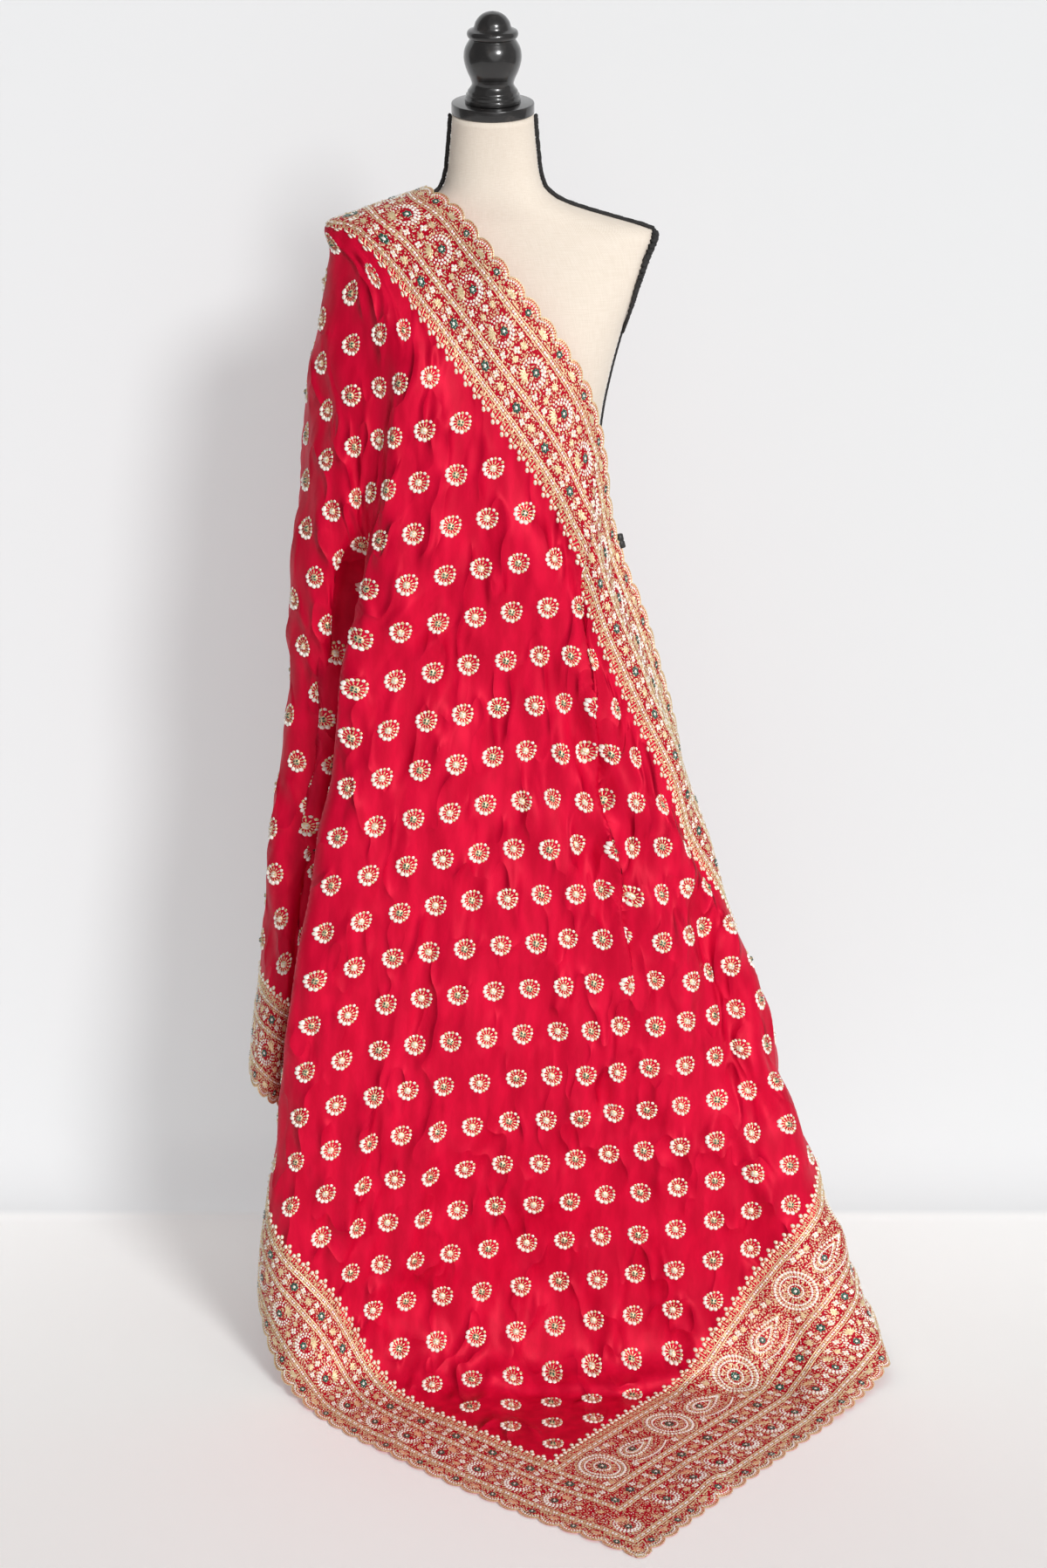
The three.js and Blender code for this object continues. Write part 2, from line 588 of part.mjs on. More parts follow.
// The black braids on the form's seams, laid just clear of it. The left armhole's is left out:
// the cloth covers it.
function addBraids() {
  const black = { color: COLOURS.black, roughness: 0.8, metalness: 0 };
  const lift = CORD_GAP + NECK_CORD_RADIUS;
  const shoulders = [
    { name: 'left', angle: Math.PI, from: SHOULDER_TIP_Z + 12 },
    { name: 'right', angle: 0, from: SHOULDER_TIP_Z },
  ];
  for (const { name, angle, from } of shoulders) {
    const levels = torsoLevels().filter((z) => z >= from && z < NECK_TOP_Z);
    const path = levels.map((z) => torsoPoint(z, angle, lift).add(new THREE.Vector3(0, 0, lift / 2)));
    addPiece(`shoulder_braid_${name}`, cordGeometry(path, NECK_CORD_RADIUS), black);
  }
  for (const { name, turn } of [{ name: 'front', turn: -1 }, { name: 'back', turn: 1 }]) {
    const path = steps(0, 1, 7).map((part) => {
      const z = THREE.MathUtils.lerp(SHOULDER_TIP_Z - 9, ARMHOLE_LOW_Z + 9, part);
      const spread = ARMHOLE_SPREAD * Math.sin(Math.PI * (0.1 + 0.8 * part)) ** 0.7;
      return torsoPoint(z, turn * spread, CORD_GAP + ARMHOLE_CORD_RADIUS);
    });
    addPiece(`armhole_braid_${name}`, cordGeometry(path, ARMHOLE_CORD_RADIUS), black);
  }
  const seam = [...torsoLevels().filter((z) => z < ARMHOLE_LOW_Z - 6), ARMHOLE_LOW_Z - 6];
  const sidePath = seam.map((z) => torsoPoint(z, 0, CORD_GAP + SEAM_CORD_RADIUS));
  addPiece('side_seam_braid', cordGeometry(sidePath, SEAM_CORD_RADIUS), black);
}

function addStand() {
  const black = { color: COLOURS.black, roughness: 0.4, metalness: 0 };
  addPiece('stand_base', turned([
    { radius: 0, z: 0 }, { radius: BASE_RADIUS, z: 0 },
    { radius: BASE_RADIUS, z: BASE_HEIGHT - BASE_BEVEL },
    { radius: BASE_RADIUS - BASE_BEVEL, z: BASE_HEIGHT }, { radius: 0, z: BASE_HEIGHT },
  ]), black);
  const collarZ = HEM_Z - COLLAR_HEIGHT - PIECE_GAP;
  addPiece('stand_pole', turned([
    { radius: 0, z: BASE_HEIGHT + PIECE_GAP }, { radius: POLE_RADIUS, z: BASE_HEIGHT + PIECE_GAP },
    { radius: POLE_RADIUS, z: collarZ - PIECE_GAP }, { radius: 0, z: collarZ - PIECE_GAP },
  ]), { color: COLOURS.steel, roughness: 0.35, metalness: 0.8 });
  addPiece('stand_collar', turned([
    { radius: 0, z: collarZ }, { radius: COLLAR_RADIUS * 0.6, z: collarZ },
    { radius: COLLAR_RADIUS, z: HEM_Z - PIECE_GAP }, { radius: 0, z: HEM_Z - PIECE_GAP },
  ]), black);
}

function addWaistClip() {
  const { width, depth, height, x, y, z } = WAIST_CLIP;
  const clip = addPiece('waist_clip', new THREE.BoxGeometry(width, depth, height),
    { color: COLOURS.black, roughness: 0.5, metalness: 0 });
  clip.position.set(x, y, z);
  clip.rotation.y = -0.25;
}

addSari();
addTorso();
addFinial();
addBraids();
addStand();
addWaistClip();

export default pieces;
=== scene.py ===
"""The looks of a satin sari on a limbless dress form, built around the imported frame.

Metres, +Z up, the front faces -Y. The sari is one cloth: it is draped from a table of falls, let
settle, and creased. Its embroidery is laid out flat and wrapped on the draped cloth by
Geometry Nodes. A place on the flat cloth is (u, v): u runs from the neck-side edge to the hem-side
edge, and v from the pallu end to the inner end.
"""

import logging
import math
from collections.abc import Iterable, Sequence
from dataclasses import dataclass, field
from enum import Enum
from typing import NamedTuple

import bpy
import numpy as np
from mathutils import Matrix, Vector


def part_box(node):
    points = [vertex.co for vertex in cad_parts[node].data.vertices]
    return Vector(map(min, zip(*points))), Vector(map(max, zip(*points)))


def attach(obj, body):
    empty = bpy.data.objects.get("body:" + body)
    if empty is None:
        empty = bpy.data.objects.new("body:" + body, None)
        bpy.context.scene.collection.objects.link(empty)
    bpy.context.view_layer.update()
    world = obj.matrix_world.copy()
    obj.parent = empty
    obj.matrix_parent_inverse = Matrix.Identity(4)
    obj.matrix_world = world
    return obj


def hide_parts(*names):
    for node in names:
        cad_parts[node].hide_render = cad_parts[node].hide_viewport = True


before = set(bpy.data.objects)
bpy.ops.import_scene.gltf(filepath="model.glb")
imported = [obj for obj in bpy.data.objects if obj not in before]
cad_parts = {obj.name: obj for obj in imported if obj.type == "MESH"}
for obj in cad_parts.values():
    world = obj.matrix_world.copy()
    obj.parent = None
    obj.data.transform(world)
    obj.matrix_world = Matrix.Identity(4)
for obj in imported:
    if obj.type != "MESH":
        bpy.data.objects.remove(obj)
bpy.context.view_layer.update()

MM = 0.001
TURN = 2 * math.pi
Colour = tuple[float, float, float]
Place = tuple[float, float, float]
Spot = tuple[float, float]
log = logging.getLogger("sari")


# ---- tables ----

class Fall(NamedTuple):
    """A straight line on the flat cloth, and the places where it hangs: from the neck-side edge at
    v = start to the far edges of the cut at end = (u, v)."""

    name: str
    start: float
    end: Spot
    hem: Place
    upper: Place | None = None
    waist: Place | None = None
    knee: Place | None = None
    foot: Place | None = None


# Horizontal sections of the torso: height, half its width, reach to the front and to the back.
TORSO = np.array((
    (.686, .14, .092, .096), (.745, .152, .1, .108), (.83, .138, .092, .104),
    (.94, .106, .078, .084), (1.03, .112, .088, .088), (1.105, .12, .104, .092),
    (1.16, .124, .114, .096), (1.21, .133, .112, .098), (1.276, .15, .098, .098),
    (1.322, .169, .082, .092), (1.36, .18, .066, .08), (1.387, .183, .054, .068),
    (1.399, .144, .05, .06), (1.41, .106, .05, .056), (1.42, .077, .05, .053),
    (1.434, .059, .049, .05), (1.455, .052, .047, .048), (1.52, .0465, .0465, .0465),
))

# The turned finial: height above the disc, and radius.
FINIAL = (
    (0, .032), (.0045, .032), (.005, .0306), (.009, .0306), (.0096, .029), (.013, .0286),
    (.017, .0256), (.021, .024), (.027, .0256), (.036, .0296), (.046, .0325), (.054, .033),
    (.062, .0314), (.07, .027), (.072, .026), (.074, .0282), (.0775, .0293), (.081, .028),
    (.083, .024), (.085, .0214), (.091, .0194), (.097, .0148), (.101, .0086), (.103, 0),
)

# The neck-side edge of the cloth: v, then where it is.
EDGE = np.array((
    (0, .215, .115, .151), (.2, .226, .095, .344), (.4, .234, .06, .536),
    (.56, .238, .005, .688), (.641, .232, -.045, .752), (.739, .2, -.074, .846),
    (.849, .17, -.078, .948), (.941, .143, -.076, 1.033), (.984, .133, -.082, 1.075),
    (1.048, .126, -.094, 1.138), (1.1, .117, -.106, 1.191), (1.178, .086, -.124, 1.263),
    (1.255, .036, -.122, 1.317), (1.35, -.019, -.098, 1.388), (1.435, -.063, -.042, 1.438),
    (1.47, -.073, -.01, 1.449), (1.51, -.075, .03, 1.443), (1.6, -.038, .086, 1.387),
    (1.65, -.008, .1, 1.35), (1.7, .02, .108, 1.308),
))

FALLS = tuple(Fall(*row) for row in (
    ("return corner", 0, (.45, 0), (.476, -.015, .009), (.268, .112, .125), (.322, .1, .072),
     (.374, .078, .02), (.428, .038, .009)),
    ("return low", .2, (.49, 0), (.484, -.05, .008), (.28, .082, .295), (.335, .062, .212),
     (.386, .038, .115), (.434, .008, .034)),
    ("return high", .4, (.53, 0), (.491, -.088, .007), (.285, .038, .474), (.335, .015, .368),
     (.385, -.008, .23), (.442, -.036, .084)),
    ("right roll", .56, (.565, 0), (.496, -.122, .007), (.266, -.004, .615), (.31, -.018, .495),
     (.368, -.038, .33), (.443, -.068, .15)),
    ("right front", .641, (.66, 0), (.448, -.2, .0013), (.262, -.058, .65), (.302, -.084, .49),
     (.35, -.102, .31), (.402, -.12, .05)),
    ("end middle", .7, (.85, 0), (.35, -.333, .0013), (.232, -.068, .69), (.258, -.078, .5),
     (.29, -.108, .29), (.318, -.138, .016)),
    ("end outer", .758, (1.047, 0), (.231, -.498, .0013), (.222, -.096, .75), (.236, -.112, .6),
     (.228, -.133, .38), (.214, -.148, .01)),
    ("pallu corner", .849, (1.17, 0), (.169, -.582, .0013), (.182, -.104, .83),
     (.182, -.125, .68), (.168, -.138, .4), (.148, -.153, .01)),
    ("right of the tuck", .958, (1.17, .111), (.082, -.52, .0013), (.139, -.112, .91),
     (.136, -.132, .72), (.114, -.143, .42), (.067, -.154, .01)),
    ("left of the tuck", 1.024, (1.17, .177), (.028, -.476, .0013), (.115, -.116, .96),
     (.102, -.133, .74), (.076, -.143, .43), (.022, -.156, .01)),
    ("front 1", 1.091, (1.17, .244), (-.019, -.431, .0013), (.104, -.12, 1.04),
     (.078, -.134, .8), (.034, -.146, .44), (-.033, -.161, .01)),
    ("front 2", 1.158, (1.17, .311), (-.068, -.384, .0013), (.082, -.124, 1.11),
     (.042, -.136, .82), (-.012, -.149, .45), (-.082, -.167, .01)),
    ("front 3", 1.224, (1.17, .377), (-.114, -.336, .0013), (.042, -.128, 1.15),
     (.006, -.137, .84), (-.052, -.151, .46), (-.127, -.171, .01)),
    ("front 4", 1.29, (1.17, .443), (-.16, -.287, .0013), (0, -.131, 1.15), (-.038, -.14, .835),
     (-.095, -.153, .45), (-.165, -.173, .01)),
    ("front 5", 1.357, (1.17, .51), (-.202, -.234, .0013), (-.036, -.131, 1.18),
     (-.077, -.142, .835), (-.133, -.156, .45), (-.197, -.171, .012)),
    ("front 6", 1.41, (1.17, .577), (-.241, -.183, .0015), (-.07, -.129, 1.215),
     (-.112, -.142, .835), (-.172, -.157, .45), (-.226, -.164, .03)),
    ("left ridge", 1.44, (1.17, .74), (-.309, -.06, .066), (-.088, -.126, 1.25),
     (-.14, -.134, 1), (-.222, -.152, .58), (-.289, -.118, .205)),
    ("left valley", 1.47, (1.17, .96), (-.234, .074, .242), (-.114, -.11, 1.29),
     (-.152, -.078, 1.04), (-.192, -.012, .64), (-.22, .045, .43)),
    ("side front ridge", 1.5, (1.17, 1.18), (-.283, -.058, .338), (-.142, -.084, 1.325),
     (-.182, -.08, 1.08), (-.216, -.072, .68), (-.264, -.06, .43)),
    ("side outer", 1.545, (1.17, 1.26), (-.314, -.006, .348), (-.176, -.046, 1.358),
     (-.214, -.036, 1.18), (-.256, -.026, .79), (-.296, -.016, .47)),
    ("side back ridge", 1.585, (1.17, 1.4), (-.268, .138, .366), (-.186, .01, 1.372),
     (-.216, .042, 1.15), (-.24, .092, .76), (-.262, .126, .47)),
    ("side back valley", 1.605, (1.17, 1.57), (-.14, .078, .392), (-.186, .044, 1.362)),
    ("back ridge 1", 1.62, (1.17, 1.76), (-.192, .222, .35), (-.172, .088, 1.34)),
    ("back valley 1", 1.635, (1.17, 1.99), (-.085, .062, .3), (-.126, .106, 1.306)),
    ("back ridge 2", 1.65, (1.17, 2.22), (-.095, .265, .225), (-.08, .112, 1.262)),
    ("back corner", 1.665, (1.17, 2.4), (.012, .32, .122), (-.042, .118, 1.226)),
    ("inner end 1", 1.675, (.93, 2.4), (0, .15, .262)),
    ("inner end 2", 1.68, (.7, 2.4), (.065, .308, .374)),
    ("inner end 3", 1.685, (.45, 2.4), (.085, .112, .49)),
    ("inner end 4", 1.69, (.22, 2.4), (.13, .28, .585)),
    ("inner corner", 1.7, (0, 2.4), (.2, .11, .612)),
))
STATION_PARTS = (.2, .4, .62, .82, 1)
TUCK_GAIN = 2.33         # brings a tuck's highest place up to its height


# ---- reading tables and smooth lines ----

def hermite(t: np.ndarray | float, start: np.ndarray, leave: np.ndarray, end: np.ndarray,
            arrive: np.ndarray) -> np.ndarray:
    """The value at t, from start at 0 to end at 1, with the slopes leave and arrive there."""
    return ((2 * t**3 - 3 * t**2 + 1) * start + (t**3 - 2 * t**2 + t) * leave
            + (3 * t**2 - 2 * t**3) * end + (t**3 - t**2) * arrive)


def catmull(table: np.ndarray, index: np.ndarray) -> np.ndarray:
    """Reads a table's rows at fractional places, blended between their neighbours.

    Args:
        table: one row for each whole index.
        index: where to read.

    Returns:
        A row for each index.
    """
    last = len(table) - 1
    here = np.minimum(np.floor(index).astype(int), last - 1)
    t = (index - here).reshape(-1, *([1] * (table.ndim - 1)))
    before, at, after, beyond = (table[np.clip(here + step, 0, last)] for step in (-1, 0, 1, 2))
    return hermite(t, at, (after - before) / 2, after, (beyond - at) / 2)


def find_row(keys: np.ndarray, values: np.ndarray) -> np.ndarray:
    """The fractional row where rising keys reach each value."""
    here = np.clip(np.searchsorted(keys, values) - 1, 0, len(keys) - 2)
    return here + np.clip((values - keys[here]) / (keys[here + 1] - keys[here]), 0, 1)


def spline_weights(knots: np.ndarray, targets: np.ndarray) -> np.ndarray:
    """Weights of a natural cubic spline.

    Args:
        knots: where the values are known.
        targets: where they are wanted.

    Returns:
        A matrix that turns the values at the knots into those at the targets.
    """
    count = len(knots)
    gap = np.diff(knots)
    bend = np.eye(count)
    force = np.zeros((count, count))
    for i in range(1, count - 1):
        bend[i, i - 1:i + 2] = gap[i - 1], 2 * (gap[i - 1] + gap[i]), gap[i]
        force[i, i - 1:i + 2] = 6 / gap[i - 1], -6 / gap[i - 1] - 6 / gap[i], 6 / gap[i]
    curve = np.linalg.solve(bend, force)
    here = np.clip(np.searchsorted(knots, targets) - 1, 0, count - 2)
    width = gap[here][:, None]
    b = ((targets - knots[here]) / gap[here])[:, None]
    a = 1 - b
    unit = np.eye(count)
    return (a * unit[here] + b * unit[here + 1]
            + ((a**3 - a) * curve[here] + (b**3 - b) * curve[here + 1]) * width**2 / 6)


def smoothstep(low: float, high: float, value: np.ndarray) -> np.ndarray:
    """0 below low, 1 above high, and a smooth rise between them."""
    t = np.clip((value - low) / (high - low), 0, 1)
    return t * t * (3 - 2 * t)


def lump_field(x: np.ndarray, y: np.ndarray, seed: int) -> np.ndarray:
    """Smooth uneven values, with one lump in each unit of x and y.

    Args:
        x: places one way.
        y: places the other way.
        seed: starts the random numbers.

    Returns:
        A value from -1 to 1 for each place.
    """
    shift = 40
    knobs = np.random.default_rng(seed).uniform(-1, 1, (4 * shift, 4 * shift))
    x = x + shift
    y = y + shift
    left = np.floor(x).astype(int)
    low = np.floor(y).astype(int)
    across = smoothstep(0, 1, x - left)
    up = smoothstep(0, 1, y - low)
    first = knobs[left, low] * (1 - across) + knobs[left + 1, low] * across
    second = knobs[left, low + 1] * (1 - across) + knobs[left + 1, low + 1] * across
    return first * (1 - up) + second * up


def scaled(rows: np.ndarray) -> np.ndarray:
    """Each row scaled to a length of 1."""
    return rows / np.linalg.norm(rows, axis=-1, keepdims=True)


def ways(line: np.ndarray) -> np.ndarray:
    """The way along a line at each of its places."""
    return scaled(np.gradient(line, axis=0))


def run(lines: np.ndarray) -> np.ndarray:
    """How far along its line each place is; the last axis but one goes along a line."""
    steps = np.linalg.norm(np.diff(lines, axis=-2), axis=-1)
    return np.concatenate([np.zeros_like(steps[..., :1]), np.cumsum(steps, axis=-1)], axis=-1)


def spoke(x: float, y: float, radius: float, angle: float) -> Spot:
    """The place at a distance and an angle from x, y."""
    return x + radius * math.cos(angle), y + radius * math.sin(angle)


def evenly(start: float, end: float, pitch: float) -> tuple[np.ndarray, float]:
    """Cuts a length into equal parts.

    Args:
        start: where it starts.
        end: where it ends.
        pitch: about how long each part is.

    Returns:
        The parts' middles, and how far each is drawn out to fit.
    """
    count = round((end - start) / pitch)
    part = (end - start) / count
    return start + (np.arange(count) + .5) * part, part / pitch


# ---- node trees ----

class Wire:
    """An output socket that Python's operators can be used on."""

    def __init__(self, graph: "Graph", socket: bpy.types.NodeSocket) -> None:
        """Keeps the graph that the socket's node is in."""
        self.graph = graph
        self.socket = socket

    def apply(self, operation: str, *others: "Wire | float") -> "Wire":
        """A Math node on this value and the others."""
        values = dict(enumerate((self, *others)))
        return self.graph.wire("ShaderNodeMath", {"operation": operation}, values)

    def __add__(self, other: "Wire | float") -> "Wire":
        """self + other."""
        return self.apply("ADD", other)

    def __mul__(self, other: "Wire | float") -> "Wire":
        """self * other."""
        return self.apply("MULTIPLY", other)

    def __sub__(self, other: "Wire | float") -> "Wire":
        """self - other."""
        return self.apply("SUBTRACT", other)

    def __truediv__(self, other: "Wire | float") -> "Wire":
        """self / other."""
        return self.apply("DIVIDE", other)

    def __rsub__(self, other: float) -> "Wire":
        """other - self."""
        return self.apply("MULTIPLY_ADD", -1.0, other)

    __radd__ = __add__
    __rmul__ = __mul__

    def rise(self, low: float, high: float) -> "Wire":
        """0 below low, 1 above high, smooth between."""
        settings = {"interpolation_type": "SMOOTHSTEP"}
        return self.graph.wire("ShaderNodeMapRange", settings, {0: self, 1: low, 2: high})


class Graph:
    """A node tree that is being made."""

    def __init__(self, tree: bpy.types.NodeTree) -> None:
        """Starts from an empty tree."""
        self.tree = tree
        tree.nodes.clear()

    def node(self, kind: str, settings: dict | None = None,
             values: dict | None = None) -> bpy.types.Node:
        """Adds a node.

        Args:
            kind: the node's type.
            settings: its own settings, which are set first.
            values: numbers, colours or wires for its input sockets.

        Returns:
            The node.
        """
        made = self.tree.nodes.new(kind)
        for key, value in (settings or {}).items():
            setattr(made, key, value)
        for key, value in (values or {}).items():
            if isinstance(value, Wire):
                self.tree.links.new(value.socket, made.inputs[key])
            else:
                made.inputs[key].default_value = value
        return made

    def wire(self, kind: str, settings: dict | None = None, values: dict | None = None,
             out: int | str = 0) -> Wire:
        """Adds a node and gives the wire from one of its outputs."""
        return Wire(self, self.node(kind, settings, values).outputs[out])

    def split(self, vector: Wire) -> list[Wire]:
        """The three numbers of a vector."""
        parts = self.node("ShaderNodeSeparateXYZ", {}, {0: vector})
        return [Wire(self, part) for part in parts.outputs]


class Paint(Graph):
    """The node tree of one material."""

    def __init__(self, name: str) -> None:
        """Makes the material with an empty tree.

        Args:
            name: the material's name.
        """
        self.material = bpy.data.materials.new(name)
        self.material.use_nodes = True
        super().__init__(self.material.node_tree)

    def place(self) -> Wire:
        """Object coordinates, in metres."""
        return self.wire("ShaderNodeTexCoord", out="Object")

    def mix(self, share: Wire | float, first: Wire | Colour, second: Wire | Colour) -> Wire:
        """A colour between two."""
        ends = [c if isinstance(c, Wire) else (*c, 1) for c in (first, second)]
        return self.wire("ShaderNodeMix", {"data_type": "RGBA"},
                         {0: share, 6: ends[0], 7: ends[1]}, 2)

    def noise(self, at: Wire, scale: float, detail: float = 2, stretch: Place = (1, 1, 1)) -> Wire:
        """Noise.

        Args:
            at: the places.
            scale: lumps to a metre.
            detail: how many finer layers it has.
            stretch: how much closer the lumps are along each axis.

        Returns:
            A value from 0 to 1 for each place.
        """
        spread = self.wire("ShaderNodeVectorMath", {"operation": "MULTIPLY"}, {0: at, 1: stretch})
        return self.wire("ShaderNodeTexNoise", {}, {"Vector": spread, "Scale": scale,
                                                    "Detail": detail})

    def bump(self, height: Wire, distance: float, strength: float = 1) -> Wire:
        """A bumped normal, from a height of 0 to 1 and how far 1 stands out."""
        return self.wire("ShaderNodeBump", {}, {"Height": height, "Distance": distance,
                                                "Strength": strength})

    def surface(self, **values: Wire | float | Colour) -> bpy.types.Material:
        """Ends the material in one Principled shader.

        Args:
            values: the shader's inputs, with _ for each space in their names.

        Returns:
            The material.
        """
        named = {key.replace("_", " "): (*value, 1) if isinstance(value, tuple) else value
                 for key, value in values.items()}
        shader = self.wire("ShaderNodeBsdfPrincipled", {}, named)
        self.node("ShaderNodeOutputMaterial", {}, {"Surface": shader})
        return self.material


# ---- finishes ----

@dataclass(frozen=True)
class Satin:
    """Crimson satin with a soft bloom, and fine thread worked into its borders, where the satin
    between the threads is darkened with painted shade.
    """

    lit: Colour = (.71, .003, .039)
    deep: Colour = (.55, .001, .027)
    # ground: painted shade, the border's satin between the threads painted darker than the open
    # satin
    ground: Colour = (.44, .002, .016)
    thread: Colour = (.86, .62, .42)
    roughness: float = .5
    specular: float = .1
    weave_relief: float = .15 * MM
    pucker: float = 5.5 * MM
    pucker_way: Spot = (.586, .81)
    ground_from: float = 22 * MM
    end_ground_from: float = 16 * MM
    ground_edge: float = 2 * MM

    def make(self, drape: "Drape | None" = None) -> bpy.types.Material:
        """Makes the finish.

        Args:
            drape: the sari's sizes, for the thread in its borders, or None for plain satin.

        Returns:
            The material, which reads the cloth's UV map where it has thread.
        """
        paint = Paint("crimson satin" if drape is None else "crimson satin and thread")
        at = paint.place()
        slub = paint.noise(at, 60, 3, (1, 1, .3))
        colour = paint.mix(slub.rise(.3, .75), self.deep, self.lit)
        weave = paint.noise(at, 900, 1)
        if drape is None:
            return paint.surface(
                Base_Color=colour, Roughness=self.roughness, Specular_IOR_Level=self.specular,
                Normal=paint.bump(weave, self.weave_relief, .5))
        v, u, _ = paint.split(paint.wire("ShaderNodeUVMap", {"uv_map": "flat"}))
        v = v * drape.length
        u = u * drape.width
        side = u.apply("MINIMUM", drape.width - u)
        side_from = drape.side_border - self.ground_from
        end_from = drape.end_border - self.end_ground_from
        near_side = 1 - side.rise(side_from, side_from + self.ground_edge)
        near_end = 1 - v.rise(end_from, end_from + self.ground_edge)
        border = near_side.apply("MAXIMUM", near_end)
        metres = paint.wire("ShaderNodeCombineXYZ", {}, {0: v, 1: u})
        wander = paint.wire("ShaderNodeTexVoronoi", {"feature": "DISTANCE_TO_EDGE"},
                            {"Vector": metres, "Scale": 230.0})
        worked = border * wander.rise(.17, .23)
        first, second = self.pucker_way
        hang = paint.wire("ShaderNodeCombineXYZ", {}, {0: (u * first + v * second) * 1.8,
                                                       1: u * second - v * first})
        lumps = paint.noise(hang, 12, 1)
        short = 1 - ((lumps * 2 - 1).apply("ABSOLUTE") * 2.5).apply("MINIMUM", 1)
        short = short * short
        here = paint.noise(hang, 9, 1).rise(.40, .60)
        pucker = short * here * (1 - border)
        # painted shade: the satin between the border's threads is darkened towards ground
        colour = paint.mix(border * .9, colour, self.ground)
        return paint.surface(
            Base_Color=paint.mix(worked * .9, colour, self.thread),
            Metallic=worked * .2 + .12, Roughness=self.roughness,
            Specular_IOR_Level=self.specular,
            Normal=paint.bump(weave * .02 + worked * .1 + pucker, self.pucker))


@dataclass(frozen=True)
class GoldThread:
    """Champagne gold thread, finely twisted, with painted highlights on its raised strands and
    painted shade in its hollows.
    """

    # light is a painted highlight and dark a painted shade of the thread
    light: Colour = (1, .83, .54)
    dark: Colour = (.68, .46, .23)

    def make(self) -> bpy.types.Material:
        """Makes the finish.

        Returns:
            The material.
        """
        paint = Paint("gold thread")
        twist_and_painted_shading = paint.noise(paint.place(), 700, 2)
        # painted highlight and painted shade: the colour goes from dark to light with the twist's
        # bump height
        return paint.surface(
            Base_Color=paint.mix(twist_and_painted_shading.rise(.3, .7), self.dark, self.light),
            Metallic=.45, Roughness=.38, Normal=paint.bump(twist_and_painted_shading, .4 * MM))


@dataclass(frozen=True)
class Stone:
    """A small sewn-on stone or pearl."""

    name: str
    colour: Colour
    other: Colour
    roughness: float
    coat: float

    def make(self) -> bpy.types.Material:
        """Makes the finish.

        Returns:
            The material.
        """
        paint = Paint(self.name)
        tone = paint.noise(paint.place(), 240, 0)
        return paint.surface(Base_Color=paint.mix(tone.rise(.35, .65), self.colour, self.other),
                             Roughness=self.roughness, Coat_Weight=self.coat,
                             Coat_Roughness=.06)


class Gem(Enum):
    """The two sorts of stone on the sari."""

    CRYSTAL = Stone("white stones", (.98, .94, .88), (.90, .81, .71), .22, .6)
    EMERALD = Stone("green stones", (.006, .05, .032), (.012, .10, .06), .1, 1)


@dataclass(frozen=True)
class FormCover:
    """Cream cotton, closely woven: weft level round the form, warp up it."""

    light: Colour = (.86, .77, .67)
    dark: Colour = (.76, .66, .55)
    thread: float = 1.7 * MM
    mean_radius: float = .12

    def make(self) -> bpy.types.Material:
        """Makes the finish.

        Returns:
            The material.
        """
        paint = Paint("cream woven cotton")
        x, y, z = paint.split(paint.place())
        round_it = y.apply("ARCTAN2", x) * self.mean_radius
        turn = TURN / self.thread
        crossing = (round_it * turn).apply("SINE") * (z * turn).apply("SINE") * .5 + .5
        flat = paint.wire("ShaderNodeCombineXYZ", {}, {0: round_it, 1: z})
        slub = paint.noise(flat, 60, 3, (1, 14, 1)) + paint.noise(flat, 60, 3, (14, 1, 1))
        tone = crossing * .3 + slub * .45
        return paint.surface(
            Base_Color=paint.mix(tone.rise(.35, .85), self.dark, self.light),
            Roughness=.9, Sheen_Weight=.15, Normal=paint.bump(tone, .35 * MM, .8))


@dataclass(frozen=True)
class BlackLacquer:
    """Turned wood under black lacquer, slightly worn in random patches."""

    colour: Colour = (.012, .011, .011)
    worn: Colour = (.035, .030, .028)

    def make(self) -> bpy.types.Material:
        """Makes the finish.

        Returns:
            The material.
        """
        paint = Paint("black lacquer")
        at = paint.place()
        dust = paint.noise(at, 90, 4)
        rings = paint.noise(at, 30, 2, (.2, .2, 18))
        return paint.surface(
            Base_Color=paint.mix(dust.rise(.5, .8), self.colour, self.worn),
            Roughness=dust * .14 + .18, Coat_Weight=.6, Coat_Roughness=.12,
            Normal=paint.bump(rings, .12 * MM))


@dataclass(frozen=True)
class DullBlack:
    """Black cotton, paint or plastic, told apart by its grain."""

    name: str
    grain: float
    roughness: float
    relief: float
    colour: Colour = (.016, .015, .015)
    other: Colour = (.04, .038, .038)
    metallic: float = 0

    def make(self) -> bpy.types.Material:
        """Makes the finish.

        Returns:
            The material.
        """
        paint = Paint(self.name)
        grain = paint.noise(paint.place(), self.grain, 2)
        return paint.surface(
            Base_Color=paint.mix(grain.rise(.35, .75), self.colour, self.other),
            Roughness=self.roughness, Metallic=self.metallic,
            Normal=paint.bump(grain, self.relief))


# ---- meshes ----

def new_mesh(name: str, points: Iterable, faces: Sequence[Sequence[int]]) -> bpy.types.Object:
    """Makes a smooth-shaded mesh object in the scene.

    Args:
        name: the piece's name.
        points: its vertices, in metres.
        faces: corners of each face, counter-clockwise from outside.

    Returns:
        The object.
    """
    mesh = bpy.data.meshes.new(name)
    mesh.from_pydata([tuple(map(float, p)) for p in points], [], [tuple(f) for f in faces])
    mesh.shade_smooth()
    made = bpy.data.objects.new(name, mesh)
    bpy.context.scene.collection.objects.link(made)
    return made


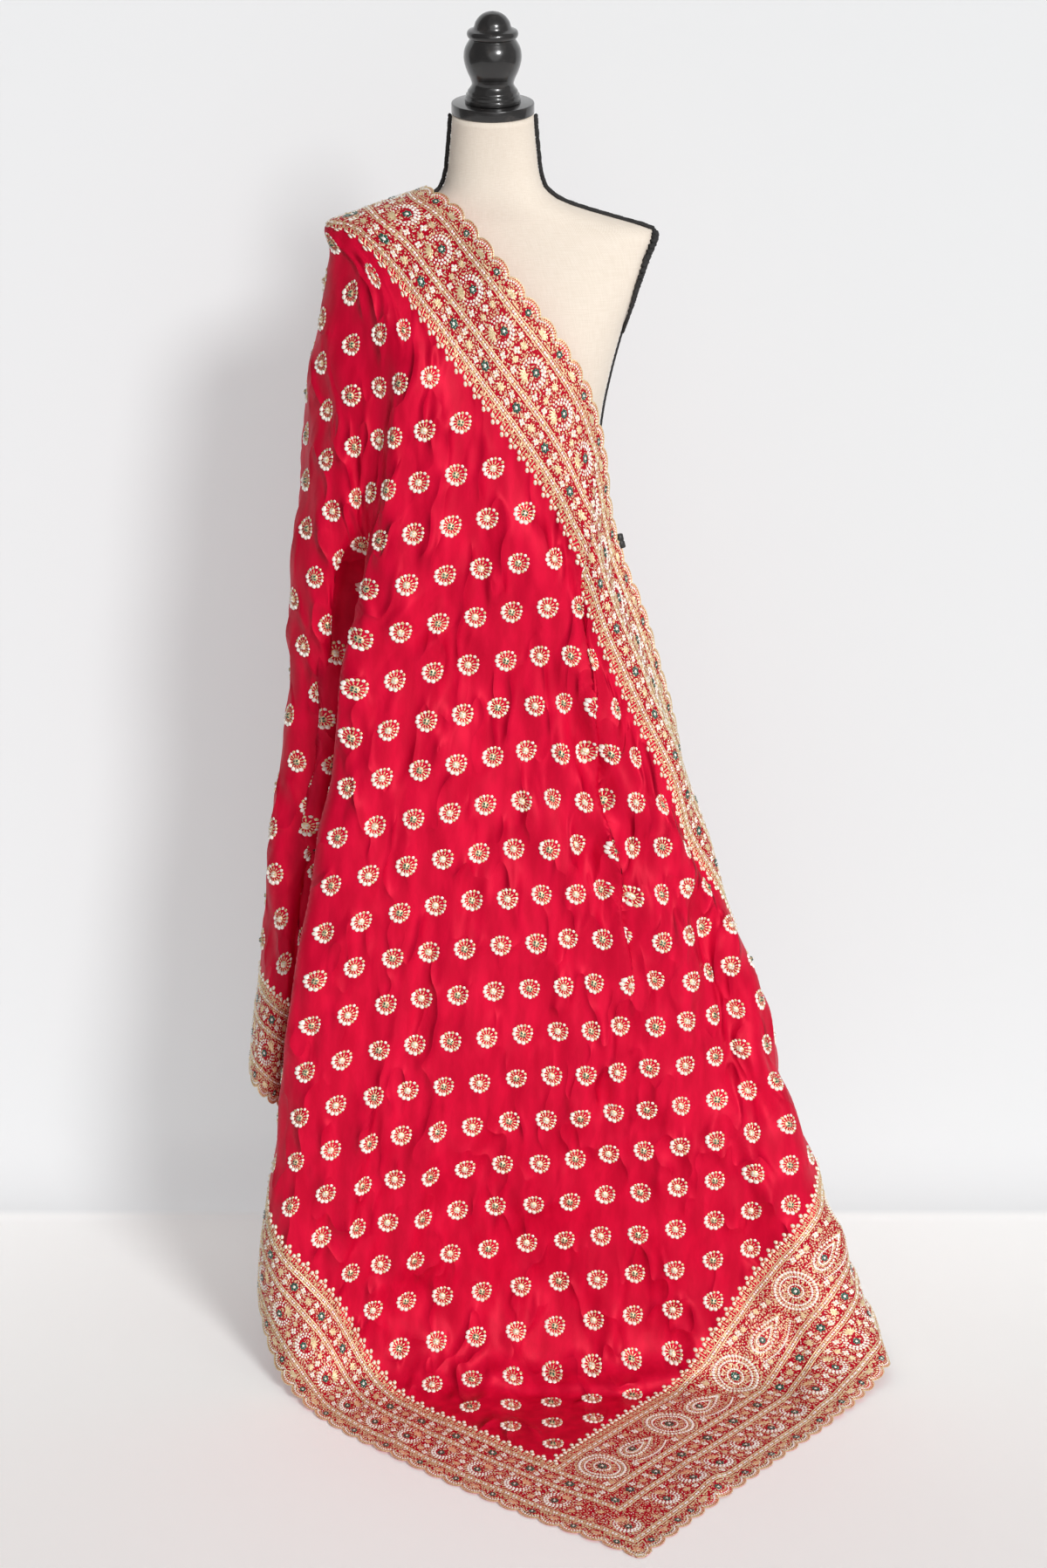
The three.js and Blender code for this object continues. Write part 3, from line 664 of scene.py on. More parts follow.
def grid_faces(rows: int, columns: int, closed: bool = False) -> list[tuple[int, int, int, int]]:
    """Faces of a net of points, row by row, whose outside is row direction x column direction.

    Args:
        rows: how many rows of points.
        columns: how many points in each.
        closed: whether each row joins its own start.

    Returns:
        The corners of each face.
    """
    return [(r * columns + c, (r + 1) * columns + c,
             (r + 1) * columns + (c + 1) % columns, r * columns + (c + 1) % columns)
            for r in range(rows - 1) for c in range(columns if closed else columns - 1)]


def tower_faces(base: int, rings: int, sides: int) -> list[tuple[int, ...]]:
    """Faces that join stacked rings of points, and the last ring to the point after it.

    Args:
        base: the first ring's first point.
        rings: how many rings there are.
        sides: how many points each has.

    Returns:
        The corners of each face.
    """
    faces: list[tuple[int, ...]] = []
    for ring in range(rings):
        for side in range(sides):
            a = base + ring * sides + side
            b = base + ring * sides + (side + 1) % sides
            faces.append((a, b, b + sides, a + sides) if ring + 1 < rings
                         else (a, b, base + rings * sides))
    return faces


def set_flat_map(piece: bpy.types.Object, places: np.ndarray) -> None:
    """Gives a mesh the UV map "flat".

    Args:
        piece: the mesh.
        places: a flat place for each vertex.
    """
    layer = piece.data.uv_layers.new(name="flat")
    corners = np.empty(len(piece.data.loops), int)
    piece.data.loops.foreach_get("vertex_index", corners)
    layer.uv.foreach_set("vector", places[corners].astype(np.float32).ravel())


def dress(piece: bpy.types.Object, material: bpy.types.Material,
          nodes: Sequence[str] = ()) -> bpy.types.Object:
    """Dresses a finished piece.

    Args:
        piece: the piece.
        material: its finish.
        nodes: the CAD nodes that it stands for.

    Returns:
        The piece.
    """
    piece.data.materials.clear()
    piece.data.materials.append(material)
    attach(piece, "root")
    if nodes:
        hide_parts(*nodes)
    log.info("%s: %d faces", piece.name, len(piece.data.polygons))
    return piece


# ---- the form's shape and the sari's drape ----

@dataclass(frozen=True)
class FormShape:
    """The torso's surface, from its horizontal sections. The neck leans and its top is tilted."""

    roundness: float = 2.4
    hem: float = .686
    neck_base: float = 1.434
    neck_top: float = 1.52
    neck_tilt: float = math.radians(10)

    def section(self, z: np.ndarray) -> tuple[np.ndarray, np.ndarray, np.ndarray]:
        """Half the width, and the reach to the front and back, at each height."""
        rows = catmull(TORSO[:, 1:], find_row(TORSO[:, 0], z))
        return rows[:, 0], rows[:, 1], rows[:, 2]

    def point(self, z: np.ndarray, angle: np.ndarray, grow: float = 0) -> np.ndarray:
        """Places on the surface.

        Args:
            z: heights.
            angle: turns round the section, from +X towards the back.
            grow: how far out of the surface.

        Returns:
            A place for each height and angle.
        """
        wide, front, back = self.section(z)
        power = 2 / self.roundness
        across = np.cos(angle)
        along = np.sin(angle)
        x = np.sign(across) * np.abs(across) ** power * (wide + grow)
        y = np.sign(along) * np.abs(along) ** power * (np.where(along < 0, front, back) + grow)
        lean = np.clip((z - self.neck_base) / (self.neck_top - self.neck_base), 0, 1)
        slope = math.tan(self.neck_tilt) * lean
        return np.stack([x, y - (z - self.neck_base) * slope, z + y * slope], axis=-1)

    def clear(self, points: np.ndarray, clearance: float, lift: float) -> np.ndarray:
        """Moves places of the cloth out of the torso.

        Args:
            points: the places.
            clearance: how far the cloth stays from the torso.
            lift: how far it rides above the shoulder.

        Returns:
            The places, just clear of it.
        """
        spots = points.reshape(-1, 3)
        z = spots[:, 2] - lift
        wide, front, back = self.section(z)
        x = np.abs(spots[:, 0]) / (wide + clearance)
        y = np.abs(spots[:, 1]) / (np.where(spots[:, 1] < 0, front, back) + clearance)
        inside = (x ** self.roundness + y ** self.roundness) ** (1 / self.roundness)
        near = (z <= self.neck_base) & (z >= self.hem - clearance) & (inside < 1) & (inside > .05)
        out = np.where(near, inside, 1)
        moved = spots / np.stack([out, out, np.ones_like(out)], axis=-1)
        return moved.reshape(points.shape)


@dataclass(frozen=True)
class Drape:
    """How the sari hangs: a coarse net of places, near true length both ways."""

    form: FormShape
    width: float = 1.17
    length: float = 2.4
    side_border: float = .142
    end_border: float = .212
    side_fall: float = 1.18
    back_fall: float = 1.56
    lowest: float = .0013
    clearance: float = .013
    shoulder_lift: float = .010
    path_steps: int = 48
    sweeps: int = 80
    pull: float = .3
    push: float = .15
    smoothing: float = .08
    last_smoothing: float = .5
    guide: float = .04
    pin_from: float = .9
    pin_to: float = 1.01
    pin_width: float = .06
    pin_pull: float = .5

    def across(self) -> np.ndarray:
        """The net's steps across the cloth, with one on each border's line."""
        inner = self.width - self.side_border
        return np.concatenate([np.linspace(0, self.side_border, 4)[:-1],
                               np.linspace(self.side_border, inner, 23),
                               np.linspace(inner, self.width, 4)[1:]])

    def along(self) -> np.ndarray:
        """The net's steps along the cloth, with one wherever the CAD's cloth is parted."""
        return np.concatenate([np.linspace(0, self.end_border, 6),
                               np.linspace(self.end_border, self.side_fall, 22)[1:],
                               np.linspace(self.side_fall, self.back_fall, 11)[1:],
                               np.linspace(self.back_fall, self.length, 20)[1:]])

    def stations(self) -> np.ndarray:
        """Where each fall hangs; one with no station hangs straight.

        Returns:
            Five places for each fall.
        """
        starts = catmull(EDGE[:, 1:], find_row(EDGE[:, 0], np.array([f.start for f in FALLS])))
        rows = []
        for fall, start in zip(FALLS, starts):
            top = start if fall.upper is None else np.array(fall.upper)
            above = 0 if fall.upper is None else STATION_PARTS[0]
            places = (fall.upper, fall.waist, fall.knee, fall.foot, fall.hem)
            rows.append([
                np.array(place) if place else
                top + (np.array(fall.hem) - top) * (part - above) / (1 - above)
                for place, part in zip(places, STATION_PARTS)])
        return np.array(rows)

    def find_falls(self, u: np.ndarray, v: np.ndarray, ends: np.ndarray) -> np.ndarray:
        """The falls that pass through places of the flat cloth.

        Args:
            u: places across the cloth.
            v: places along it.
            ends: each fall's start, and its end as u and v.

        Returns:
            A fractional fall for each place.
        """
        low = np.zeros(len(u))
        high = np.full(len(u), len(FALLS) - 1.0)
        for _ in range(30):
            middle = (low + high) / 2
            start, end_u, end_v = catmull(ends, middle).T
            beyond = end_u * (v - start) > u * (end_v - start)
            low = np.where(beyond, middle, low)
            high = np.where(beyond, high, middle)
        return (low + high) / 2

    def paths(self, index: np.ndarray, start: np.ndarray) -> np.ndarray:
        """The paths of some falls.

        Args:
            index: the fractional falls.
            start: where each starts on the neck-side edge.

        Returns:
            path_steps + 1 places along each, clear of the torso.
        """
        first = catmull(EDGE[:, 1:], find_row(EDGE[:, 0], start))
        knots = np.concatenate([first[:, None], catmull(self.stations(), index)], axis=1)
        knots = np.concatenate([2 * knots[:, :1] - knots[:, 1:2], knots,
                                2 * knots[:, -1:] - knots[:, -2:-1]], axis=1)
        gap = np.maximum(np.linalg.norm(np.diff(knots, axis=1), axis=2), 1e-6) ** .5
        turns = []
        for step in range(self.path_steps + 1):
            at = step / self.path_steps * len(STATION_PARTS)
            here = min(int(at), len(STATION_PARTS) - 1)
            t = at - here
            p0, p1, p2, p3 = (knots[:, here + k] for k in range(4))
            d0, d1, d2 = (gap[:, here + k, None] for k in range(3))
            slope1 = ((p1 - p0) / d0 - (p2 - p0) / (d0 + d1) + (p2 - p1) / d1) * d1
            slope2 = ((p2 - p1) / d1 - (p3 - p1) / (d1 + d2) + (p3 - p2) / d2) * d1
            turns.append(hermite(t, p1, slope1, p2, slope2))
        points = self.form.clear(np.stack(turns, axis=1), self.clearance, self.shoulder_lift)
        points[..., 2] = np.maximum(points[..., 2], self.lowest)
        return points

    def places(self, u: np.ndarray, v: np.ndarray) -> np.ndarray:
        """Where the falls alone put the cloth.

        Args:
            u: places across the cloth.
            v: places along it.

        Returns:
            A point for each place.
        """
        ends = np.array([(fall.start, *fall.end) for fall in FALLS])
        index = self.find_falls(u, v, ends)
        start, end_u, end_v = catmull(ends, index).T
        part = (u * end_u + (v - start) * (end_v - start)) / (end_u**2 + (end_v - start)**2)
        points = self.paths(index, start)
        lengths = run(points)
        goal = np.clip(part, 0, 1) * lengths[:, -1]
        step = np.clip((lengths < goal[:, None]).sum(axis=1), 1, self.path_steps)
        row = np.arange(len(u))
        share = (goal - lengths[row, step - 1]) / (lengths[row, step] - lengths[row, step - 1])
        return (points[row, step - 1]
                + (points[row, step] - points[row, step - 1]) * share[:, None])

    def hold(self, net: np.ndarray, gaps: np.ndarray) -> None:
        """Moves neighbours in each row of the net towards the length of cloth between them.

        Args:
            net: the net, which is moved.
            gaps: the length between each crossing of a row and the next.
        """
        for first in (0, 1):
            here = net[:, first:-1:2]
            there = net[:, first + 1::2]
            way = there - here
            long = np.linalg.norm(way, axis=2, keepdims=True)
            error = long - gaps[first::2][None, :, None]
            shift = way / long * error * np.where(error > 0, self.pull, self.push)
            here += shift
            there -= shift

    def ease(self, net: np.ndarray, share: float) -> None:
        """Eases each crossing of the net towards the mean of its neighbours.

        Args:
            net: the net, which is moved.
            share: how much of the way it goes.
        """
        total = np.zeros_like(net)
        count = np.zeros(net.shape[:2] + (1,))
        total[:, 1:-1] += net[:, :-2] + net[:, 2:]
        count[:, 1:-1] += 2
        total[1:-1] += net[:-2] + net[2:]
        count[1:-1] += 2
        mean = np.where(count > 0, total / np.maximum(count, 1), net)
        net += (mean - net) * share

    def settle(self) -> np.ndarray:
        """Lets the net of the falls settle: true lengths, soft bends, clear of the form.

        Returns:
            A point for each crossing, by steps along the cloth and then across it.
        """
        log.info("%d falls, %s to %s", len(FALLS), FALLS[0].name, FALLS[-1].name)
        across = self.across()
        along = self.along()
        v, u = np.meshgrid(along, across, indexing="ij")
        guide = self.places(u.ravel(), v.ravel()).reshape(*u.shape, 3)
        pinned = (u < self.pin_width) & (v > self.pin_from) & (v < self.pin_to)
        guide_pull = np.where(pinned, self.pin_pull, self.guide)[..., None]
        net = guide.copy()
        for sweep in range(self.sweeps):
            self.hold(net, np.diff(across))
            self.hold(net.transpose(1, 0, 2), np.diff(along))
            self.ease(net, self.smoothing if sweep + 1 < self.sweeps else self.last_smoothing)
            net += (guide - net) * guide_pull
            net = self.form.clear(net, self.clearance, self.shoulder_lift)
            net[..., 2] = np.maximum(net[..., 2], self.lowest)
        return net


# ---- the sari ----

class Fold(Enum):
    """How a crease bends the cloth."""

    RIDGE = "ridge"
    TUCK = "tuck"
    SLIDE = "slide"


@dataclass(frozen=True)
class Crease:
    """One crease along a line on the flat cloth: a soft ridge (a trough where its height is
    below 0), a tuck whose left side lies over its right, or cloth that slides along itself.
    The line is in metres, and the width, height and lean are in millimetres."""

    path: tuple[Spot, ...]
    width: float
    height: float
    lean: float = 0
    fade: float = .4
    fold: Fold = Fold.RIDGE
    steps: int = 6

    def bend(self, u: np.ndarray, v: np.ndarray) -> tuple[np.ndarray, np.ndarray, np.ndarray]:
        """How the crease moves each place.

        Args:
            u: places across the cloth.
            v: places along it.

        Returns:
            The way outwards, and the ways along growing u and growing v, in metres.
        """
        given = np.array(self.path)
        knots = catmull(given, np.linspace(0, len(given) - 1, (len(given) - 1) * self.steps + 1))
        best = np.full(u.shape, 1e9)
        side, along, way_u, way_v = (np.zeros(u.shape) for _ in range(4))
        lengths = np.linalg.norm(np.diff(knots, axis=0), axis=1)
        before = 0.0
        for (u0, v0), (u1, v1), long in zip(knots[:-1], knots[1:], lengths):
            step_u = (u1 - u0) / long
            step_v = (v1 - v0) / long
            reach = (u - u0) * step_u + (v - v0) * step_v
            off = (v - v0) * step_u - (u - u0) * step_v
            held = np.clip(reach, 0, long)
            away = np.hypot(off, reach - held)
            nearer = away < best
            best = np.where(nearer, away, best)
            side = np.where(nearer, np.where(off < 0, -away, away), side)
            along = np.where(nearer, (before + held) / lengths.sum(), along)
            way_u = np.where(nearer, step_u, way_u)
            way_v = np.where(nearer, step_v, way_v)
            before += long
        width = self.width * MM
        lean = self.lean * MM
        shape = np.exp(-(side / width) ** 2)
        shape = shape * smoothstep(0, self.fade, along) * smoothstep(0, self.fade, 1 - along)
        if self.fold is Fold.TUCK:
            shape = shape * TUCK_GAIN * side / width
            lean = -lean
        return shape * self.height * MM, -way_v * shape * lean, way_u * shape * lean


@dataclass
class Sari:
    """The whole cloth as one thin sheet, with its creases."""

    drape: Drape
    trim: float = 7 * MM
    thickness: float = .5 * MM
    columns: int = 180
    front_rows: int = 186
    other_rows: int = 84
    lattice_start: Spot = (.171, 1.300)
    column_step: Spot = (.046, -.0333)
    row_step: Spot = (-.046, -.0333)
    pucker: float = 5.5 * MM
    wave: float = 8 * MM
    border_share: float = .25       # how much of both the stiffer borders take
    border_blend: float = .05
    near_share: float = .6          # how much of the clearance a crease may use up
    net: np.ndarray = field(init=False)
    guide: bpy.types.Object = field(init=False)

    def __post_init__(self) -> None:
        """Lets the cloth settle once."""
        self.net = self.drape.settle()

    def creases(self) -> list[Crease]:
        """The creases, given one by one.

        Returns:
            Those in front, and then those behind.
        """
        table = (
            # (path, width, height, lean, fade, fold)
            # the tuck that runs down from the waist
            (((.00, 1.07), (.114, .996), (.182, .908), (.231, .834), (.295, .747), (.327, .678),
              (.424, .567)), 15, 3.5, 13, .12, Fold.TUCK),
            # the front panel's long left ridge, and the drag folds that run into it
            (((.335, 1.241), (.444, 1.184), (.537, 1.125), (.641, 1.074), (.823, .936),
              (.951, .848), (1.061, .788)), 20, 10, 15, .15),
            (((.38, 1.26), (.464, 1.286), (.609, 1.294), (.722, 1.279), (.831, 1.256),
              (.939, 1.218), (1.016, 1.188)), 32, -36, 0, .2),
            (((.295, 1.129), (.359, 1.139), (.420, 1.152), (.460, 1.152)), 9, 5, 3),
            (((.291, 1.060), (.376, 1.088), (.444, 1.100)), 10, 5, 3),
            (((.40, 1.115), (.484, 1.092), (.537, 1.064)), 10, -4),
            (((.33, 1.095), (.42, 1.125), (.50, 1.12)), 9, -4),
            (((.48, 1.02), (.56, 1.00), (.64, .95)), 11, 4),
            # the edge that is drawn out to the clip at the waist
            (((.00, .83), (.00, .945), (.00, 1.06)), 40, 0, 9),
            # the border that is drawn up to the neck on the shoulder
            (((.05, 1.34), (.05, 1.43), (.05, 1.52), (.05, 1.62)), 85, 0, 16, .4, Fold.SLIDE),
            (((.13, 1.39), (.14, 1.45), (.14, 1.51), (.14, 1.58)), 60, 0, 24, .4, Fold.SLIDE),
            # the fall of the cloth from the shoulder's tip
            (((.10, 1.60), (.11, 1.54), (.12, 1.48), (.13, 1.43)), 26, -8, 0, .35),
            (((.19, 1.58), (.20, 1.52), (.205, 1.46), (.21, 1.40)), 30, 8, 0, .35),
            # long soft folds on the side fall
            (((.40, 1.46), (.521, 1.419), (.686, 1.385), (.811, 1.351), (.923, 1.313),
              (1.037, 1.271)), 20, 8, 0, .2),
            (((.42, 1.36), (.56, 1.345), (.70, 1.325), (.86, 1.29), (.98, 1.25)), 18, -9, 0, .25),
            (((.60, 1.49), (.75, 1.46), (.90, 1.42), (1.00, 1.38)), 18, -8, 0, .25),
            # soft vertical folds low on the front
            (((.70, .725), (.742, .701), (.802, .659), (.851, .627), (.927, .576), (.996, .525)),
             14, 8, -5, .25),
            (((.79, .79), (.831, .765), (.883, .733), (.935, .701), (.988, .668), (1.042, .631)),
             14, 9, -6, .25),
            (((.36, .43), (.420, .336), (.484, .226)), 13, 8, -4, .3),
            (((.24, .50), (.31, .42), (.38, .30)), 15, -6, 0, .3),
            (((.46, .60), (.56, .50), (.66, .42)), 16, -5, 0, .35),
            # where the cloth meets the floor
            (((.97, .44), (.931, .387), (.867, .318), (.798, .253), (.722, .208), (.67, .17)),
             17, 9, 9, .25),
            (((.90, .27), (.83, .20), (.76, .16)), 16, 6, 0, .35),
            # long folds behind
            (((.28, 1.70), (.33, 1.95), (.30, 2.15), (.33, 2.36)), 24, 14, 0, .2),
            (((.45, 1.72), (.47, 1.95), (.45, 2.15), (.49, 2.36)), 24, -12, 0, .2),
            (((.60, 1.70), (.62, 1.95), (.60, 2.15), (.66, 2.37)), 26, 14, 4, .2),
            (((.86, 1.68), (.87, 1.92), (.85, 2.15), (.90, 2.36)), 24, 13, -4, .2),
            (((.73, 1.75), (.75, 1.95), (.73, 2.15)), 22, -11, 0, .25))
        return [Crease(*row) for row in table]

    def lattice(self, u: np.ndarray, v: np.ndarray) -> tuple[np.ndarray, np.ndarray]:
        """Places in steps of the motifs' lattice.

        Args:
            u: places across the cloth.
            v: places along it.

        Returns:
            The steps down its columns, and those along its rows.
        """
        (a, b), (c, d) = np.linalg.inv(np.array([self.column_step, self.row_step]).T)
        du = u - self.lattice_start[0]
        dv = v - self.lattice_start[1]
        return a * du + b * dv, c * du + d * dv

    def surface(self, us: np.ndarray, vs: np.ndarray) -> tuple[np.ndarray, np.ndarray]:
        """The creased cloth on a grid.

        Args:
            us: places across the cloth.
            vs: places along it.

        Returns:
            A point and an outward direction for each v and u.
        """
        rows = spline_weights(self.drape.along(), vs)
        columns = spline_weights(self.drape.across(), us)
        points = np.einsum("ra,cb,abk->rck", rows, columns, self.net, optimize=True)
        v, u = np.meshgrid(vs, us, indexing="ij")
        creases = self.creases()
        slides = [crease for crease in creases if crease.fold is Fold.SLIDE]
        points = self.slid(points, us, vs, slides)
        out = self.outward(points)
        grow_u = np.gradient(points, us, axis=1)
        grow_v = np.gradient(points, vs, axis=0)
        down, along = self.lattice(u, v)
        body = smoothstep(0, self.border_blend,
                          np.minimum(u, self.drape.width - u) - self.drape.side_border)
        pucker = lump_field(along * 2, down * .9, 3) * self.pucker
        wave = lump_field(along * .6 + 9, down * .5, 4) * self.wave
        height = (pucker + wave) * (self.border_share + (1 - self.border_share) * body)
        for crease in (crease for crease in creases if crease not in slides):
            rise, move_u, move_v = crease.bend(u, v)
            height = height + rise
            points = points + grow_u * move_u[..., None] + grow_v * move_v[..., None]
        points = points + out * height[..., None]
        points = self.drape.form.clear(points, self.drape.clearance * self.near_share,
                                       self.drape.shoulder_lift)
        points[..., 2] = np.maximum(points[..., 2], self.drape.lowest)
        return points, self.outward(points)

    @staticmethod
    def slid(points: np.ndarray, us: np.ndarray, vs: np.ndarray,
             slides: Sequence[Crease]) -> np.ndarray:
        """The cloth after parts of it slide along itself, straight on past its edges.

        Args:
            points: the places of the cloth at each v and u.
            us: places across the cloth.
            vs: places along it.
            slides: where it slides.

        Returns:
            A point for each v and u.
        """
        v, u = np.meshgrid(vs, us, indexing="ij")
        to_u, to_v = u.copy(), v.copy()
        for slide in slides:
            _, move_u, move_v = slide.bend(u, v)
            to_u += move_u
            to_v += move_v
        column = np.interp(to_u, us, np.arange(len(us)))
        row = np.interp(to_v, vs, np.arange(len(vs)))
        c = np.minimum(column.astype(int), len(us) - 2)
        r = np.minimum(row.astype(int), len(vs) - 2)
        part_c = ((to_u - us[c]) / (us[c + 1] - us[c]))[..., None]
        part_r = ((to_v - vs[r]) / (vs[r + 1] - vs[r]))[..., None]
        first = points[r, c] * (1 - part_c) + points[r, c + 1] * part_c
        second = points[r + 1, c] * (1 - part_c) + points[r + 1, c + 1] * part_c
        return first * (1 - part_r) + second * part_r

    @staticmethod
    def outward(points: np.ndarray) -> np.ndarray:
        """The way out of a net, at each of its crossings."""
        return scaled(np.cross(np.gradient(points, axis=0), np.gradient(points, axis=1)))

    def rows(self) -> np.ndarray:
        """The places of the mesh's rows along the cloth, which are closer in front."""
        return np.concatenate([
            np.linspace(self.trim, self.drape.side_fall, self.front_rows),
            np.linspace(self.drape.side_fall, self.drape.length, self.other_rows)[1:]])

    def net_places(self, spots: np.ndarray) -> np.ndarray:
        """Places on the smooth drape.

        Args:
            spots: rows of v and u.

        Returns:
            A point for each row.
        """
        rows = spline_weights(self.drape.along(), spots[:, 0])
        columns = spline_weights(self.drape.across(), spots[:, 1])
        return np.einsum("na,nb,abk->nk", rows, columns, self.net, optimize=True)

    def net_mesh(self, name: str, us: np.ndarray, vs: np.ndarray) -> bpy.types.Object:
        """A sheet of the creased cloth.

        Args:
            name: its name.
            us: its places across the cloth.
            vs: its places along it.

        Returns:
            The sheet, with its flat map and its outward directions.
        """
        points, out = self.surface(us, vs)
        made = new_mesh(name, points.reshape(-1, 3), grid_faces(len(vs), len(us)))
        v, u = np.meshgrid(vs / self.drape.length, us / self.drape.width, indexing="ij")
        set_flat_map(made, np.stack([v.ravel(), u.ravel()], axis=-1))
        normals = made.data.attributes.new("outward", "FLOAT_VECTOR", "POINT")
        normals.data.foreach_set("vector", out.astype(np.float32).ravel())
        return made

    def build(self) -> bpy.types.Object:
        """Makes the cloth, and the untrimmed guide that its embroidery is wrapped on.

        Returns:
            The cloth, with its wall as a modifier.
        """
        us = np.linspace(self.trim, self.drape.width - self.trim, self.columns)
        self.guide = self.net_mesh("guide", np.concatenate([[0], us, [self.drape.width]]),
                                   np.concatenate([[0], self.rows()]))
        cloth = self.net_mesh("sari_cloth", us, self.rows())
        cloth.data.attributes.remove(cloth.data.attributes["outward"])
        wall = cloth.modifiers.new("wall", "SOLIDIFY")
        wall.thickness = self.thickness
        wall.offset = 0
        return cloth


# ---- embroidery ----

class Relief:
    """Low shapes that lie on flat cloth, in millimetres: x along it, y across it, z out of it."""

    def __init__(self) -> None:
        """Starts with nothing."""
        self.points: list[Place] = []
        self.faces: list[tuple[int, ...]] = []

    def rings(self, x: float, y: float, rings: Sequence[tuple[float, float]], sides: int,
              top: float, turn: float = 0) -> None:
        """Stacked rings closed by a middle point.

        Args:
            x: middle, along.
            y: middle, across.
            rings: radius and height of each, the outermost first.
            sides: sides of each ring.
            top: height of the middle point.
            turn: how far the rings are turned, in radians.
        """
        base = len(self.points)
        for radius, height in rings:
            for side in range(sides):
                angle = turn + TURN * side / sides
                self.points.append((*spoke(x, y, radius, angle), height))
        self.points.append((x, y, top))
        self.faces += tower_faces(base, len(rings), sides)

    def stone(self, x: float, y: float, radius: float) -> None:
        """A large round stone."""
        self.rings(x, y, [(radius, 0), (radius * .72, radius * .55)], 7, radius * .75)

    def bead(self, x: float, y: float, radius: float, sides: int = 5) -> None:
        """A small bead."""
        self.rings(x, y, [(radius, 0)], sides, radius * .9)

    def ringlet(self, x: float, y: float, radius: float) -> None:
        """A small ring of thread."""
        self.rings(x, y, [(radius, 0), (radius * .62, radius * .55)], 5, .15)

    def plate(self, x: float, y: float, radius: float) -> None:
        """A small square sequin."""
        self.rings(x, y, [(radius, .1)], 4, radius * .45, math.pi / 4)

    def leaf(self, x: float, y: float, angle: float, length: float, width: float) -> None:
        """One satin-stitched leaf.

        Args:
            x: where it starts, along.
            y: where it starts, across.
            angle: the way that it points, in radians.
            length: from end to end.
            width: across its middle.
        """
        way = math.cos(angle), math.sin(angle)
        base = len(self.points)
        for along, aside, height in ((0, 0, .1), (.55, .5, 0), (1, 0, .1), (.55, -.5, 0),
                                     (.5, 0, .3 + width * .18)):
            self.points.append((x + way[0] * along * length + way[1] * aside * width,
                                y + way[1] * along * length - way[0] * aside * width, height))
        self.faces += tower_faces(base, 1, 4)

    def cord(self, path: Sequence[Spot], radius: float) -> None:
        """A low round cord.

        Args:
            path: the line that it follows.
            radius: half its width.
        """
        line = np.array(path)
        base = len(self.points)
        for (x, y), (along, across) in zip(line, ways(line)):
            self.points.append((x - across * radius, y + along * radius, 0))
            self.points.append((x, y, radius * 1.2))
            self.points.append((x + across * radius, y - along * radius, 0))
        for step in range(len(line) - 1):
            a = base + 3 * step
            self.faces.append((a, a + 1, a + 4, a + 3))
            self.faces.append((a + 1, a + 2, a + 5, a + 4))

    def build(self, name: str) -> bpy.types.Object:
        """Makes the relief a mesh in metres."""
        return new_mesh(name, [(x * MM, y * MM, z * MM) for x, y, z in self.points], self.faces)


class Work(Enum):
    """What embroidery is made of."""

    THREAD = "thread"
    WHITE = "white_stones"
    GREEN = "green_stones"
    GROUND = "ground"


